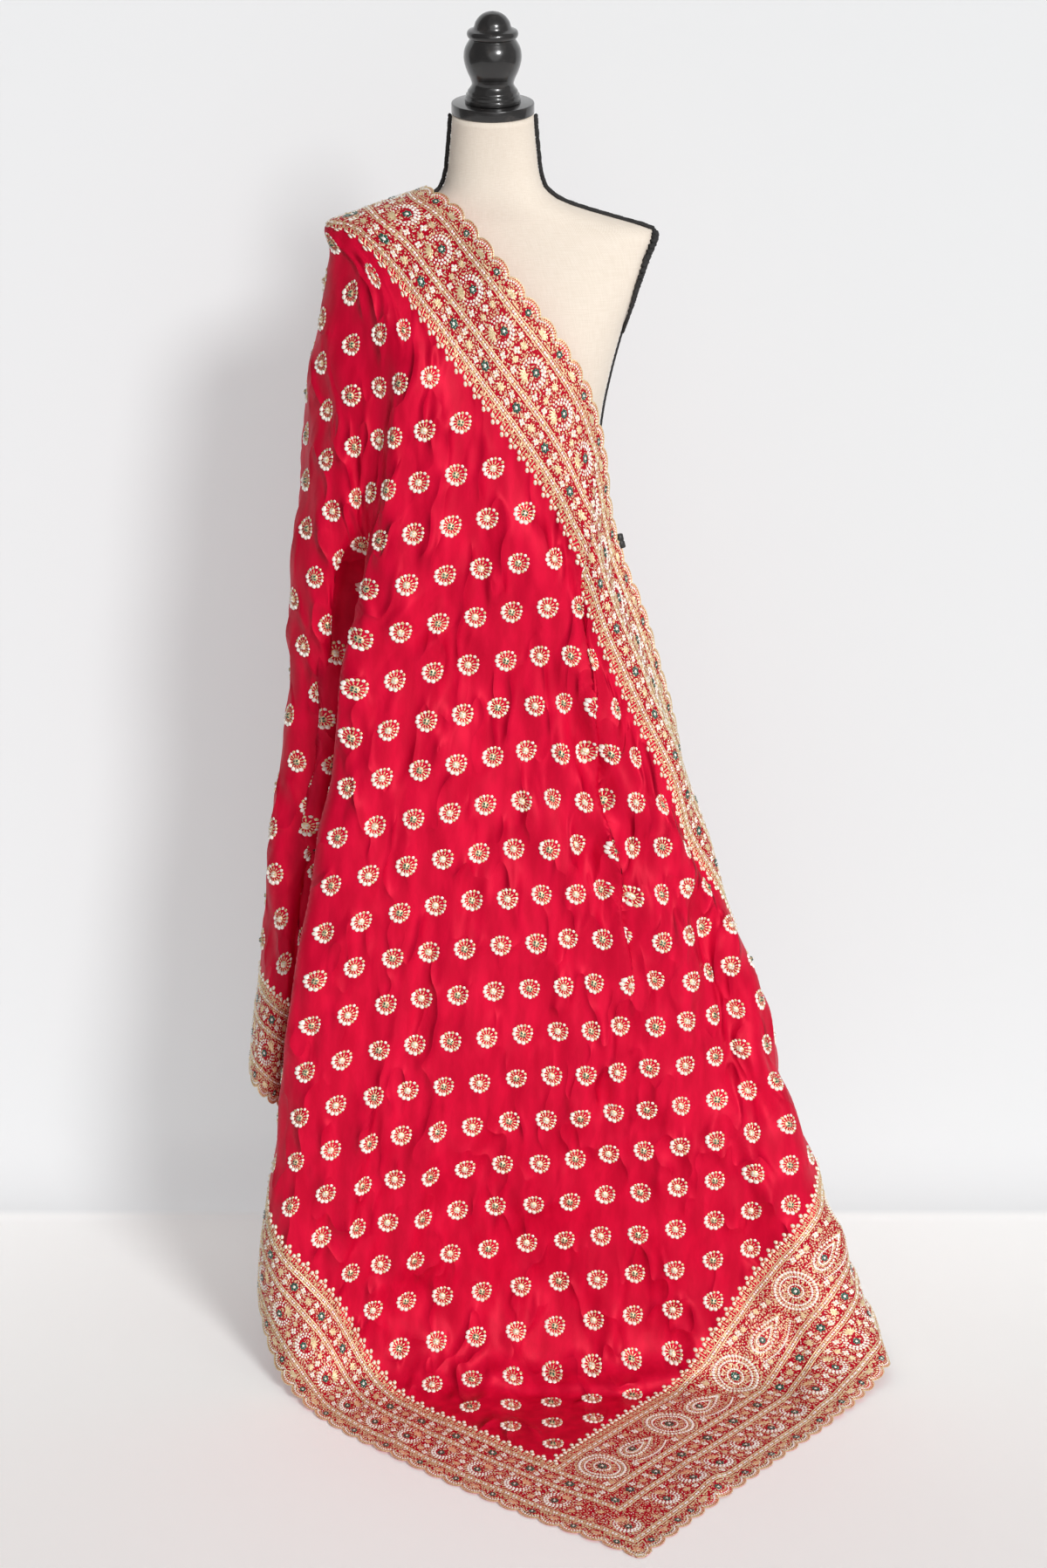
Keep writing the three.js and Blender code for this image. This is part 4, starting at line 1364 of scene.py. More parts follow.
class Motif:
    """One motif: a relief for each thing that it is made of. All sizes are in millimetres."""

    def __init__(self) -> None:
        """Starts with nothing."""
        self.works = {work: Relief() for work in Work}
        self.thread = self.works[Work.THREAD]
        self.white = self.works[Work.WHITE]
        self.green = self.works[Work.GREEN]

    def rosette(self, x: float, y: float, radius: float, petals: int) -> None:
        """A gold rosette with a bead in the middle.

        Args:
            x: its middle, along.
            y: its middle, across.
            radius: the length of a petal.
            petals: how many it has.
        """
        for petal in range(petals):
            self.thread.leaf(x, y, TURN * petal / petals, radius, 3.4 * radius / petals)
        self.thread.bead(x, y, radius * .3)

    def flower(self, x: float, y: float, radius: float, turn: float = 0) -> None:
        """A small white flower of four round petals.

        Args:
            x: its middle, along.
            y: its middle, across.
            radius: from its middle to the middle of a petal.
            turn: how far it is turned, in radians.
        """
        for petal in range(4):
            self.white.bead(*spoke(x, y, radius, turn + TURN / 4 * petal), radius * .78)
        self.thread.bead(x, y, radius * .5)

    def green_flower(self, x: float, y: float, radius: float, petals: int = 6) -> None:
        """Green stones round a white one.

        Args:
            x: its middle, along.
            y: its middle, across.
            radius: from its middle to the middle of a green stone.
            petals: how many green stones.
        """
        for petal in range(petals):
            angle = TURN * (petal + .5) / petals
            self.green.bead(*spoke(x, y, radius, angle), radius * .62, 6)
        self.white.bead(x, y, radius * .6, 6)

    def curl(self, x: float, y: float, angle: float, size: float, hand: int) -> None:
        """A small volute: a cord that winds in, to the left for a hand of 1, or -1 the right."""
        self.thread.cord([
            spoke(x, y, size * (1 - .8 * t), angle + hand * (t * 1.6 * math.pi - math.pi / 2))
            for t in np.linspace(0, 1, 8)], .55)

    def stripe(self, path: Sequence[Spot], pitch: float = 3.9) -> None:
        """Two gold cords with stones and sequins between them.

        Args:
            path: the line that they follow.
            pitch: from one stone to the next.
        """
        line = np.array(path, float)
        way = ways(line)
        aside = np.stack([-way[:, 1], way[:, 0]], axis=1)
        for side in (-3.2, 3.2):
            self.thread.cord([tuple(spot) for spot in line + aside * side], .8)
        lengths = run(line)
        count = round(lengths[-1] / pitch)
        for stone in range(count):
            at = (stone + .5) * lengths[-1] / count
            x = np.interp(at, lengths, line[:, 0])
            y = np.interp(at, lengths, line[:, 1])
            if stone % 3 == 2:
                self.thread.plate(x, y, 2.3)
            else:
                self.white.bead(x, y, 1.95, 5)

    def scatter(self, box: tuple[float, float, float, float], step: float, seed: int,
                clear: tuple[float, float, float] = (0, 0, 0)) -> None:
        """Fills a box with short stitches and tiny beads in every direction.

        Args:
            box: its low x and y, and its high x and y.
            step: from one to the next.
            seed: starts the random numbers.
            clear: the middle and radius of a round place that stays empty.
        """
        luck = np.random.default_rng(seed)
        for x in np.arange(box[0] + step / 2, box[2], step):
            for y in np.arange(box[1] + step / 2, box[3], step):
                dx, dy, turn, kind = luck.uniform(-1, 1, 4)
                spot = x + dx * step * .3, y + dy * step * .3
                if math.hypot(spot[0] - clear[0], spot[1] - clear[1]) < clear[2]:
                    continue
                if kind > .45:
                    self.white.bead(*spot, .95, 4)
                else:
                    self.thread.leaf(*spot, turn * math.pi, 3.0, 1.5)

    def lobe(self, x: float, width: float, reach: float, green: bool) -> None:
        """One scallop of the edge: its ground, its outline and what fills it.

        Args:
            x: its middle along the edge.
            width: from cusp to cusp.
            reach: how far it stands out past the cusps.
            green: whether a green flower fills it, or else a gold leaf.
        """
        bow = 1.25

        def arc(inset: float, steps: int) -> list[Spot]:
            """The scallop's outline.

            Args:
                inset: how far it is drawn in.
                steps: how many parts it has.

            Returns:
                Its places, from cusp to cusp.
            """
            half = (width / 2 - inset * .25) / math.sin(bow)
            return [(x + half * math.sin(angle),
                     inset + reach * (1 - math.cos(angle)) / (1 - math.cos(bow)))
                    for angle in np.linspace(-bow, bow, steps + 1)]

        rim = arc(.3, 10)
        ground = self.works[Work.GROUND]
        base = len(ground.points)
        rows = [*rim, *[(spot[0], reach + 3) for spot in reversed(rim)]]
        for height in (.25, -.25):
            ground.points += [(a, b, height) for a, b in rows]
        count = len(rows)
        for step in range(10):
            mirror = count - 1 - step
            top = base + step, base + step + 1, base + mirror - 1, base + mirror
            ground.faces.append(top)
            ground.faces.append(tuple(corner + count for corner in reversed(top)))
            ground.faces.append((base + step + 1, base + step, base + step + count,
                                 base + step + 1 + count))
        self.thread.cord(arc(.6, 10), .75)
        self.thread.cord(arc(3.4, 8), .45)
        for spot in arc(2.1, 12)[1:-1]:
            self.thread.leaf(spot[0], spot[1] - 1, math.pi / 2, 2.2, 2)
        for spot in arc(5.4, 10)[1:-1]:
            self.white.bead(*spot, 1.5)
        for spot in arc(8.6, 8)[1:-1]:
            self.thread.bead(*spot, 1.5)
        if green:
            self.green_flower(x, 15.5, 2.9)
        else:
            for leaf in range(7):
                self.thread.leaf(x, 20.5, -math.pi / 2 + (leaf - 3) * .42, 9, 3.2)
            self.white.bead(x, 13.5, 1.2)
        for side in (-1, 1):
            for row, col in ((0, 8.5), (0, 12), (1, 10.2), (0, 15.4)):
                self.thread.ringlet(x + side * col, 22.3 - row * 3.4, 1.4)
            self.white.bead(x + side * (width / 2), 12.5, 1.5)


@dataclass(frozen=True)
class BorderDesign:
    """The borders' bands, in millimetres in from the edge, and their repeats."""

    repeat: float = 58
    cusp: float = 7
    first_stripe: float = 29
    second_stripe: float = 82
    third_stripe: float = 115
    frame_depth: float = 119
    last_stripe: float = 194
    stripe_half: float = 4
    tooth_reach: float = 20
    round_repeat: float = 155
    crescent_y: float = 55.5
    flower_y: float = 98.5
    tooth_pitch: float = 18

    def stripes(self) -> tuple[float, float, float]:
        """The three stripes that run round all the borders."""
        return self.first_stripe, self.second_stripe, self.third_stripe

    def frame_unit(self) -> Motif:
        """One repeat of the bands that run round all the borders.

        Returns:
            The motif, whose x runs along the edge and y in from it.
        """
        unit = Motif()
        half = self.repeat / 2
        unit.scatter((-half, 9, half, 25), 4.2, 1)
        unit.scatter((-half, 34, half, 78), 4.4, 2, (-5, self.crescent_y, 20))
        unit.scatter((-half, 87, half, 111), 4.7, 3)
        for side, green in ((-1, True), (1, False)):
            unit.lobe(side * half / 2, half, self.cusp, green)
        for y in self.stripes():
            unit.stripe([(x, y) for x in np.linspace(-half, half, 7)])
        self.crescent(unit, -5, self.crescent_y)
        unit.rosette(half - 6, 44, 5.6, 10)
        unit.rosette(half - 8, 63, 4.4, 8)
        unit.flower(half - 3, 54, 2.7)
        unit.flower(half - 14, 72.5, 2.5, .6)
        unit.flower(-half + 5, 72, 2.5, .4)
        unit.flower(-half + 4, 39, 2.4, .5)
        unit.green_flower(-half / 2, self.flower_y, 4)
        unit.rosette(half / 2, self.flower_y, 6.4, 8)
        for x in (0, half):
            for y in (93, 104):
                unit.flower(x - 1, y, 2.5, .4)
        for x, hand in ((-27, 1), (-5, -1), (5, 1), (27, -1)):
            unit.curl(x, self.flower_y, math.pi / 2 * hand, 2.6, hand)
        return unit

    def crescent(self, unit: Motif, x: float, y: float) -> None:
        """An open ring of beads round a green flower, with a gold fan in its opening.

        Args:
            unit: the motif that it joins.
            x: its middle, along.
            y: its middle, across.
        """
        opening = math.radians(62)
        for radius, count in ((12.2, 15), (15.8, 18)):
            for bead in range(count):
                angle = opening + math.radians(38) + bead * math.radians(284) / (count - 1)
                size = 2.05 * (.6 + .4 * math.sin(math.pi * bead / (count - 1)))
                unit.white.bead(*spoke(x, y, radius, angle), size, 6)
        for ringlet in range(20):
            angle = opening + math.radians(34) + ringlet * math.radians(292) / 19
            unit.thread.ringlet(*spoke(x, y, 19, angle), 1.4)
        unit.green_flower(x - 2, y - 3, 3.4)
        for angle, hand in ((.4, 1), (1.8, -1)):
            unit.curl(*spoke(x, y - 1, 7, angle), angle, 2.6, hand)
        fan = spoke(x, y, 9, opening)
        for leaf in range(7):
            unit.thread.leaf(*fan, opening + (leaf - 3) * .42, 12, 3.1)
        unit.thread.bead(*fan, 2)

    def tooth(self) -> Motif:
        """One point of the toothed edging.

        Returns:
            The motif, whose foot is at y = 0.
        """
        unit = Motif()
        for x, y in ((-4.7, 11.4), (4.7, 11.4), (0, 16.6)):
            unit.thread.bead(x, y, 3.1, 7)
            unit.white.stone(x, y, 2.8)
        unit.thread.bead(0, 11, 1.6)
        for side in (-1, 1):
            unit.thread.ringlet(side * 4.2, 5.6, 2)
            unit.thread.leaf(side * 8.6, -.5, math.pi / 2, 7, 2.6)
            unit.thread.cord([(side * (1 + 6.2 * math.sin(t)), 7.5 - 7 * math.cos(t))
                              for t in np.linspace(.2, 2.1, 5)], .55)
        unit.thread.cord([(0, 0), (0, 4), (0, 9)], .7)
        return unit

    def paisley_unit(self, repeat: float) -> Motif:
        """One repeat of the wide band at the pallu end: a beaded round and a beaded paisley.

        Args:
            repeat: its length along the band.

        Returns:
            The motif, whose x runs along the edge and y in from it.
        """
        unit = Motif()
        half = repeat / 2
        low = self.frame_depth
        high = self.last_stripe - self.stripe_half
        unit.scatter((-half, low, half, high), 3.7, 4)
        middle = (low + high) / 2
        centre = -half * .48
        for radius, bead in ((28, 2.3), (21.5, 1.7), (10, 1.6)):
            count = round(math.pi * radius / bead)
            self.beaded_loop(unit, [spoke(centre, middle, radius, a)
                                    for a in np.linspace(0, TURN, count + 1)], bead)
        for a in np.arange(14) * TURN / 14:
            unit.thread.leaf(*spoke(centre, middle, 12.5, a), a, 7, 2.6)
        unit.green_flower(centre, middle, 4, 8)
        centre = half * .5
        drop = [(centre + 31 * math.cos(a),
                 middle - 3 + 18 * math.sin(a / 2) ** 1.3 * math.sin(a))
                for a in np.linspace(0, TURN, 36)]
        self.beaded_loop(unit, drop, 2)
        self.beaded_loop(unit, [(centre - 4 + (x - centre) * .58,
                                 middle - 3 + (y - middle + 3) * .55) for x, y in drop], 1.5)
        unit.green_flower(centre - 12, middle - 3, 3.2, 8)
        for t in np.linspace(-1, 1, 25):
            unit.white.bead(centre + 37 * t, low + 6 + 9 * t * t, 1.5, 6)
            unit.thread.leaf(centre + 37 * t, low + 8.5 + 9 * t * t, math.pi / 2, 4, 2)
        for x, y in ((centre - 24, high - 8), (centre + 8, high - 9), (-2, high - 6),
                     (half - 6, high - 14), (-half + 7, low + 8), (-2, low + 10)):
            unit.flower(x, y, 2.8, .4)
            unit.rosette(x + 9, y - 2, 5, 8)
        unit.stripe([(x, self.last_stripe) for x in np.linspace(-half, half, 14)])
        return unit

    def beaded_loop(self, unit: Motif, path: Sequence[Spot], bead: float) -> None:
        """White beads along a closed line, edged by thread ringlets.

        Args:
            unit: the motif that they join.
            path: the line, whose end is its start.
            bead: the beads' radius.
        """
        centre = np.mean(np.array(path), axis=0)
        for x, y in path[:-1]:
            unit.white.bead(x, y, bead, 6)
            away = math.hypot(x - centre[0], y - centre[1])
            grow = (away + bead * 2) / max(away, 1)
            unit.thread.ringlet(centre[0] + (x - centre[0]) * grow,
                                centre[1] + (y - centre[1]) * grow, bead * .75)

    def corner(self) -> Motif:
        """The mitred corner of the bands that run round.

        Returns:
            The motif, from x and y of 0 to the bands' depth.
        """
        unit = Motif()
        depth = self.frame_depth
        unit.scatter((8, 8, depth, depth), 4.0, 5)
        for y in self.stripes():
            line = [(y, depth - t) for t in np.linspace(0, depth - y, 10)]
            line += [(y + t, y) for t in np.linspace(0, depth - y, 10)[1:]]
            unit.stripe(line)
        along = Motif()
        width = depth / 4
        for lobe in range(4):
            along.lobe((lobe + .5) * width, width, self.cusp, lobe % 2 == 1)
        for work, relief in along.works.items():
            own = unit.works[work]
            for turned in (False, True):
                base = len(own.points)
                own.points += [(y, x, z) if turned else (x, y, z) for x, y, z in relief.points]
                own.faces += [tuple(base + corner for corner in (reversed(f) if turned else f))
                              for f in relief.faces]
        self.crescent(unit, 56, 56)
        for x, y in ((40, 96), (96, 40), (62, 96), (96, 62)):
            unit.rosette(x, y, 5.6, 8)
        unit.green_flower(self.flower_y, self.flower_y, 4)
        return unit

    def buti(self, green: bool) -> Motif:
        """A round flower sewn all over the cloth, with larger stones on one side.

        Args:
            green: whether its middle is green, or else white.

        Returns:
            The motif.
        """
        unit = Motif()
        for angle in (156, 185, 215, 245, 275):
            unit.white.stone(*spoke(0, 0, 10.4, math.radians(angle)), 2.75)
        for step in range(10):
            turn = math.radians(302 + step * 22.4)
            reach = 10.4 + 2.8 * max(math.cos(turn - TURN / 8), 0) ** 6
            work = unit.white if step % 2 else unit.thread
            work.ringlet(*spoke(0, 0, reach, turn), 2.05)
        stems = 13
        for stem in range(stems):
            turn = TURN * (stem + .5) / stems
            unit.thread.leaf(*spoke(0, 0, 4.4, turn), turn, 5.2, 1.5)
        unit.thread.bead(0, 0, 4.6, 8)
        colour = unit.green if green else unit.white
        for petal in range(4):
            colour.leaf(0, -.3, .5 + TURN / 4 * petal, 4.4, 2.6)
        middle = 3.9
        on_bead = 2.8
        for work in (unit.green, unit.white):
            work.points = [(x, y, z + (on_bead if math.hypot(x, y) < middle else 0))
                           for x, y, z in work.points]
        return unit


class Stand(NamedTuple):
    """Where a motif is set on the flat cloth: x = v and y = u in metres, its turn, and how much
    it is drawn out along its own x and y."""

    x: float
    y: float
    turn: float
    fit_x: float = 1
    fit_y: float = 1


@dataclass
class Embroidery:
    """All the work on the sari, wrapped on the cloth's guide."""

    sari: Sari
    design: BorderDesign = field(default_factory=BorderDesign)
    lift: float = .3 * MM
    edge_margin: float = 2e-4
    gather_step: float = 6 * MM
    most_drawn: float = 1.38

    def __post_init__(self) -> None:
        """Makes the wrapping tree and the finishes once."""
        self.tree = self.wrap_tree()
        self.finishes = {Work.THREAD: GoldThread().make(), Work.WHITE: Gem.CRYSTAL.value.make(),
                         Work.GREEN: Gem.EMERALD.value.make(), Work.GROUND: Satin().make()}

    def wrap_tree(self) -> bpy.types.NodeTree:
        """Geometry Nodes that set a motif on points of the flat cloth and wrap it on the drape.

        Returns:
            The tree, with named inputs.
        """
        tree = bpy.data.node_groups.new("wrapped embroidery", "GeometryNodeTree")
        face = tree.interface
        face.new_socket("Geometry", in_out="OUTPUT", socket_type="NodeSocketGeometry")
        face.new_socket("Geometry", in_out="INPUT", socket_type="NodeSocketGeometry")
        for name, kind in (("Motif", "Object"), ("Cloth", "Object"), ("Length", "Float"),
                           ("Width", "Float"), ("Lift", "Float"), ("Margin", "Float"),
                           ("Finish", "Material")):
            face.new_socket(name, in_out="INPUT", socket_type=f"NodeSocket{kind}")
        graph = Graph(tree)
        given = {socket.name: Wire(graph, socket)
                 for socket in graph.node("NodeGroupInput").outputs if socket.name}

        def named(name: str, kind: str) -> Wire:
            """A named attribute."""
            return graph.wire("GeometryNodeInputNamedAttribute", {"data_type": kind},
                              {"Name": name})

        def shape(name: str) -> Wire:
            """The geometry of an object that is given."""
            return graph.wire("GeometryNodeObjectInfo", {"transform_space": "ORIGINAL"},
                              {"Object": given[name]}, "Geometry")

        turn = graph.wire("ShaderNodeCombineXYZ", {}, {2: named("turn", "FLOAT")})
        fit = graph.wire("ShaderNodeCombineXYZ", {}, {
            0: named("fit_x", "FLOAT"), 1: named("fit_y", "FLOAT"), 2: 1.0})
        placed = graph.wire("GeometryNodeInstanceOnPoints", {}, {
            "Points": given["Geometry"], "Instance": shape("Motif"), "Rotation": turn,
            "Scale": fit})
        real = graph.wire("GeometryNodeRealizeInstances", {}, {0: placed})
        along, across, height = graph.split(graph.wire("GeometryNodeInputPosition"))
        margin = given["Margin"]
        shares = [(flat / size).apply("MAXIMUM", margin).apply("MINIMUM", 1 - margin)
                  for flat, size in ((along, given["Length"]), (across, given["Width"]))]
        spot = graph.wire("ShaderNodeCombineXYZ", {}, {0: shares[0], 1: shares[1]})
        cloth = shape("Cloth")

        def sampled(value: Wire) -> Wire:
            """A value of the cloth's mesh, at the place where the flat point is sewn."""
            return graph.wire("GeometryNodeSampleUVSurface", {"data_type": "FLOAT_VECTOR"}, {
                "Mesh": cloth, "Source UV Map": named("flat", "FLOAT_VECTOR"),
                "Sample UV": spot, "Value": value}, "Value")

        out = graph.wire("ShaderNodeVectorMath", {"operation": "SCALE"}, {
            0: sampled(named("outward", "FLOAT_VECTOR")), "Scale": height + given["Lift"]})
        sewn = graph.wire("ShaderNodeVectorMath", {"operation": "ADD"}, {
            0: sampled(graph.wire("GeometryNodeInputPosition")), 1: out})
        moved = graph.wire("GeometryNodeSetPosition", {}, {"Geometry": real, "Position": sewn})
        ended = graph.wire("GeometryNodeSetMaterial", {}, {"Geometry": moved,
                                                           "Material": given["Finish"]})
        graph.node("NodeGroupOutput", {}, {0: ended})
        return tree

    def sew(self, name: str, motif: Motif, stands: Sequence[Stand]) -> list[bpy.types.Object]:
        """Sews a motif on the cloth wherever it stands.

        Args:
            name: what the motif is called; each piece adds what it is made of.
            motif: the motif.
            stands: where it is set.

        Returns:
            One piece for each thing that the motif is made of.
        """
        pieces = []
        for work, relief in motif.works.items():
            if not relief.points:
                continue
            pattern = relief.build("pattern")
            piece = new_mesh(f"{name}_{work.value}", [(s.x, s.y, 0) for s in stands], [])
            for key in ("turn", "fit_x", "fit_y"):
                marks = piece.data.attributes.new(key, "FLOAT", "POINT").data
                marks.foreach_set("value", [getattr(stand, key) for stand in stands])
            sewing = piece.modifiers.new("sewing", "NODES")
            sewing.node_group = self.tree
            drape = self.sari.drape
            finish = self.finishes[work]
            values = {"Motif": pattern, "Cloth": self.sari.guide, "Length": drape.length,
                      "Width": drape.width, "Lift": 0.0 if work is Work.GROUND else self.lift,
                      "Margin": self.edge_margin, "Finish": finish}
            for item in self.tree.interface.items_tree:
                if item.in_out == "INPUT" and item.name in values:
                    sewing[item.identifier] = values[item.name]
            deps = bpy.context.evaluated_depsgraph_get()
            made = bpy.data.meshes.new_from_object(piece.evaluated_get(deps), depsgraph=deps)
            piece.modifiers.clear()
            piece.data = made
            bpy.data.objects.remove(pattern)
            pieces.append(dress(piece, finish))
        return pieces

    def edge_stands(self, pitch: float, start: float, side_inset: float,
                    end_start: float, end_inset: float) -> list[Stand]:
        """Even places along all three edges, between their corners.

        Args:
            pitch: the repeat, in metres; it is drawn out or in to fit.
            start: where the sides start along the cloth.
            side_inset: how far in from the side edges.
            end_start: how far the end's repeats stay from both sides.
            end_inset: how far in from the end.

        Returns:
            The places, with the motif's y turned inwards.
        """
        drape = self.sari.drape
        stands = []
        places, fit = evenly(start, drape.length, pitch)
        for v in places:
            stands.append(Stand(v, side_inset, 0, fit))
            stands.append(Stand(v, drape.width - side_inset, math.pi, fit))
        places, fit = evenly(end_start, drape.width - end_start, pitch)
        return stands + [Stand(end_inset, u, -math.pi / 2, fit) for u in places]

    def buti_stands(self, green: bool) -> list[Stand]:
        """The lattice of round flowers on the body; their colour alternates from row to row.

        Args:
            green: which of the rows to give.

        Returns:
            Where those flowers stand.
        """
        sari = self.sari
        drape = sari.drape
        clear = 17 * MM
        turn = math.radians(-135)
        reach = range(-40, 60)
        stands = []
        for column in reach:
            for row in (row for row in reach if (row % 2 == 1) == green):
                u = sari.lattice_start[0] + column * sari.column_step[0] + row * sari.row_step[0]
                v = sari.lattice_start[1] + column * sari.column_step[1] + row * sari.row_step[1]
                inside = drape.side_border + clear < u < drape.width - drape.side_border - clear
                if inside and drape.end_border + clear < v < drape.length - clear:
                    stands.append(Stand(v, u, turn))
        return self.rounded_stands(stands)

    def rounded_stands(self, stands: Sequence[Stand]) -> list[Stand]:
        """Draws motifs out where the drape gathers the cloth between them, so they stay round.

        Args:
            stands: where they stand.

        Returns:
            The same places, with how far each is drawn out.
        """
        spots = np.array([(stand.x, stand.y) for stand in stands])
        turns = np.array([stand.turn for stand in stands])
        fits = []
        for turn in (turns, turns + math.pi / 2):
            step = np.stack([np.cos(turn), np.sin(turn)], axis=1) * self.gather_step
            ends = [self.sari.net_places(spots + step * side) for side in (-1, 1)]
            share = np.linalg.norm(ends[1] - ends[0], axis=1) / (2 * self.gather_step)
            fits.append(np.clip(1 / share, .9, self.most_drawn))
        return [stand._replace(fit_x=x, fit_y=y) for stand, x, y in zip(stands, *fits)]

    def build(self) -> list[bpy.types.Object]:
        """Sews everything.

        Returns:
            All the pieces.
        """
        design = self.design
        drape = self.sari.drape
        depth = design.frame_depth * MM
        foot = (design.third_stripe + design.stripe_half) * MM
        end_foot = (design.last_stripe + design.stripe_half) * MM
        bands = self.edge_stands(design.repeat * MM, depth, 0, depth, 0)
        unit = design.frame_unit()
        pieces = []
        for name, turn in (("neck", 0), ("hem", math.pi), ("end", -math.pi / 2)):
            pieces += self.sew(f"{name}_border", unit, [s for s in bands if s.turn == turn])
        pieces += self.sew("border_corners", design.corner(), [
            Stand(0, 0, 0), Stand(0, drape.width, -math.pi / 2)])
        pieces += self.sew("border_teeth", design.tooth(), self.edge_stands(
            design.tooth_pitch * MM, end_foot, foot, foot + design.tooth_reach * MM, end_foot))
        places, fit = evenly(depth, drape.width - depth, design.round_repeat * MM)
        pieces += self.sew("pallu_band", design.paisley_unit(fit * design.round_repeat), [
            Stand(0, u, -math.pi / 2) for u in places])
        for green in (False, True):
            name = "green_butis" if green else "gold_butis"
            pieces += self.sew(name, design.buti(green), self.buti_stands(green))
        return pieces


# ---- the dress form ----

def lathe(name: str, profile: Sequence[Spot], sides: int = 64) -> bpy.types.Object:
    """A turned shape round +Z, closed at both ends.

    Args:
        name: the piece's name.
        profile: radius and height from the bottom to the top; the ends are on the axis.
        sides: steps round it.

    Returns:
        The object.
    """
    points: list[Place] = [(0, 0, profile[0][1])]
    for radius, z in profile[1:-1]:
        for angle in np.arange(sides) * TURN / sides:
            points.append((*spoke(0, 0, radius, angle), z))
    points.append((0, 0, profile[-1][1]))
    foot = [(0, 1 + (side + 1) % sides, 1 + side) for side in range(sides)]
    return new_mesh(name, points, foot + tower_faces(1, len(profile) - 2, sides))


def rounded(profile: Sequence[Spot], steps: int = 4) -> list[Spot]:
    """Makes a profile smooth.

    Args:
        profile: its points.
        steps: how many parts each gap between them is cut into.

    Returns:
        The smooth profile, which never crosses the axis.
    """
    table = np.array(profile, float)
    index = np.linspace(0, len(table) - 1, (len(table) - 1) * steps + 1)
    smooth = catmull(table, index)
    smooth[:, 0] = np.maximum(smooth[:, 0], 0)
    return [tuple(row) for row in smooth]


def tubes(name: str, lines: Sequence[np.ndarray], radii: np.ndarray,
          sides: int) -> bpy.types.Object:
    """Makes round closed tubes.

    Args:
        name: the object's name.
        lines: the places along the middle of each.
        radii: how thick they are at each place.
        sides: how many corners they have round.

    Returns:
        All of them as one mesh object.
    """
    points: list[np.ndarray] = []
    faces: list[Sequence[int]] = []
    for line in lines:
        way = ways(line)
        side = scaled(np.cross(way, np.array((0, .35, 1))))
        up = np.cross(side, way)
        base = len(points)
        for place, radius, across, over in zip(line, radii, side, up):
            for angle in np.arange(sides) * TURN / sides:
                points.append(place + radius * (across * math.cos(angle) + over * math.sin(angle)))
        last = len(points) - sides
        faces += [[base + corner for corner in face]
                  for face in grid_faces(len(line), sides, closed=True)]
        faces += [range(base, base + sides), range(last, last + sides)[::-1]]
    return new_mesh(name, points, faces)


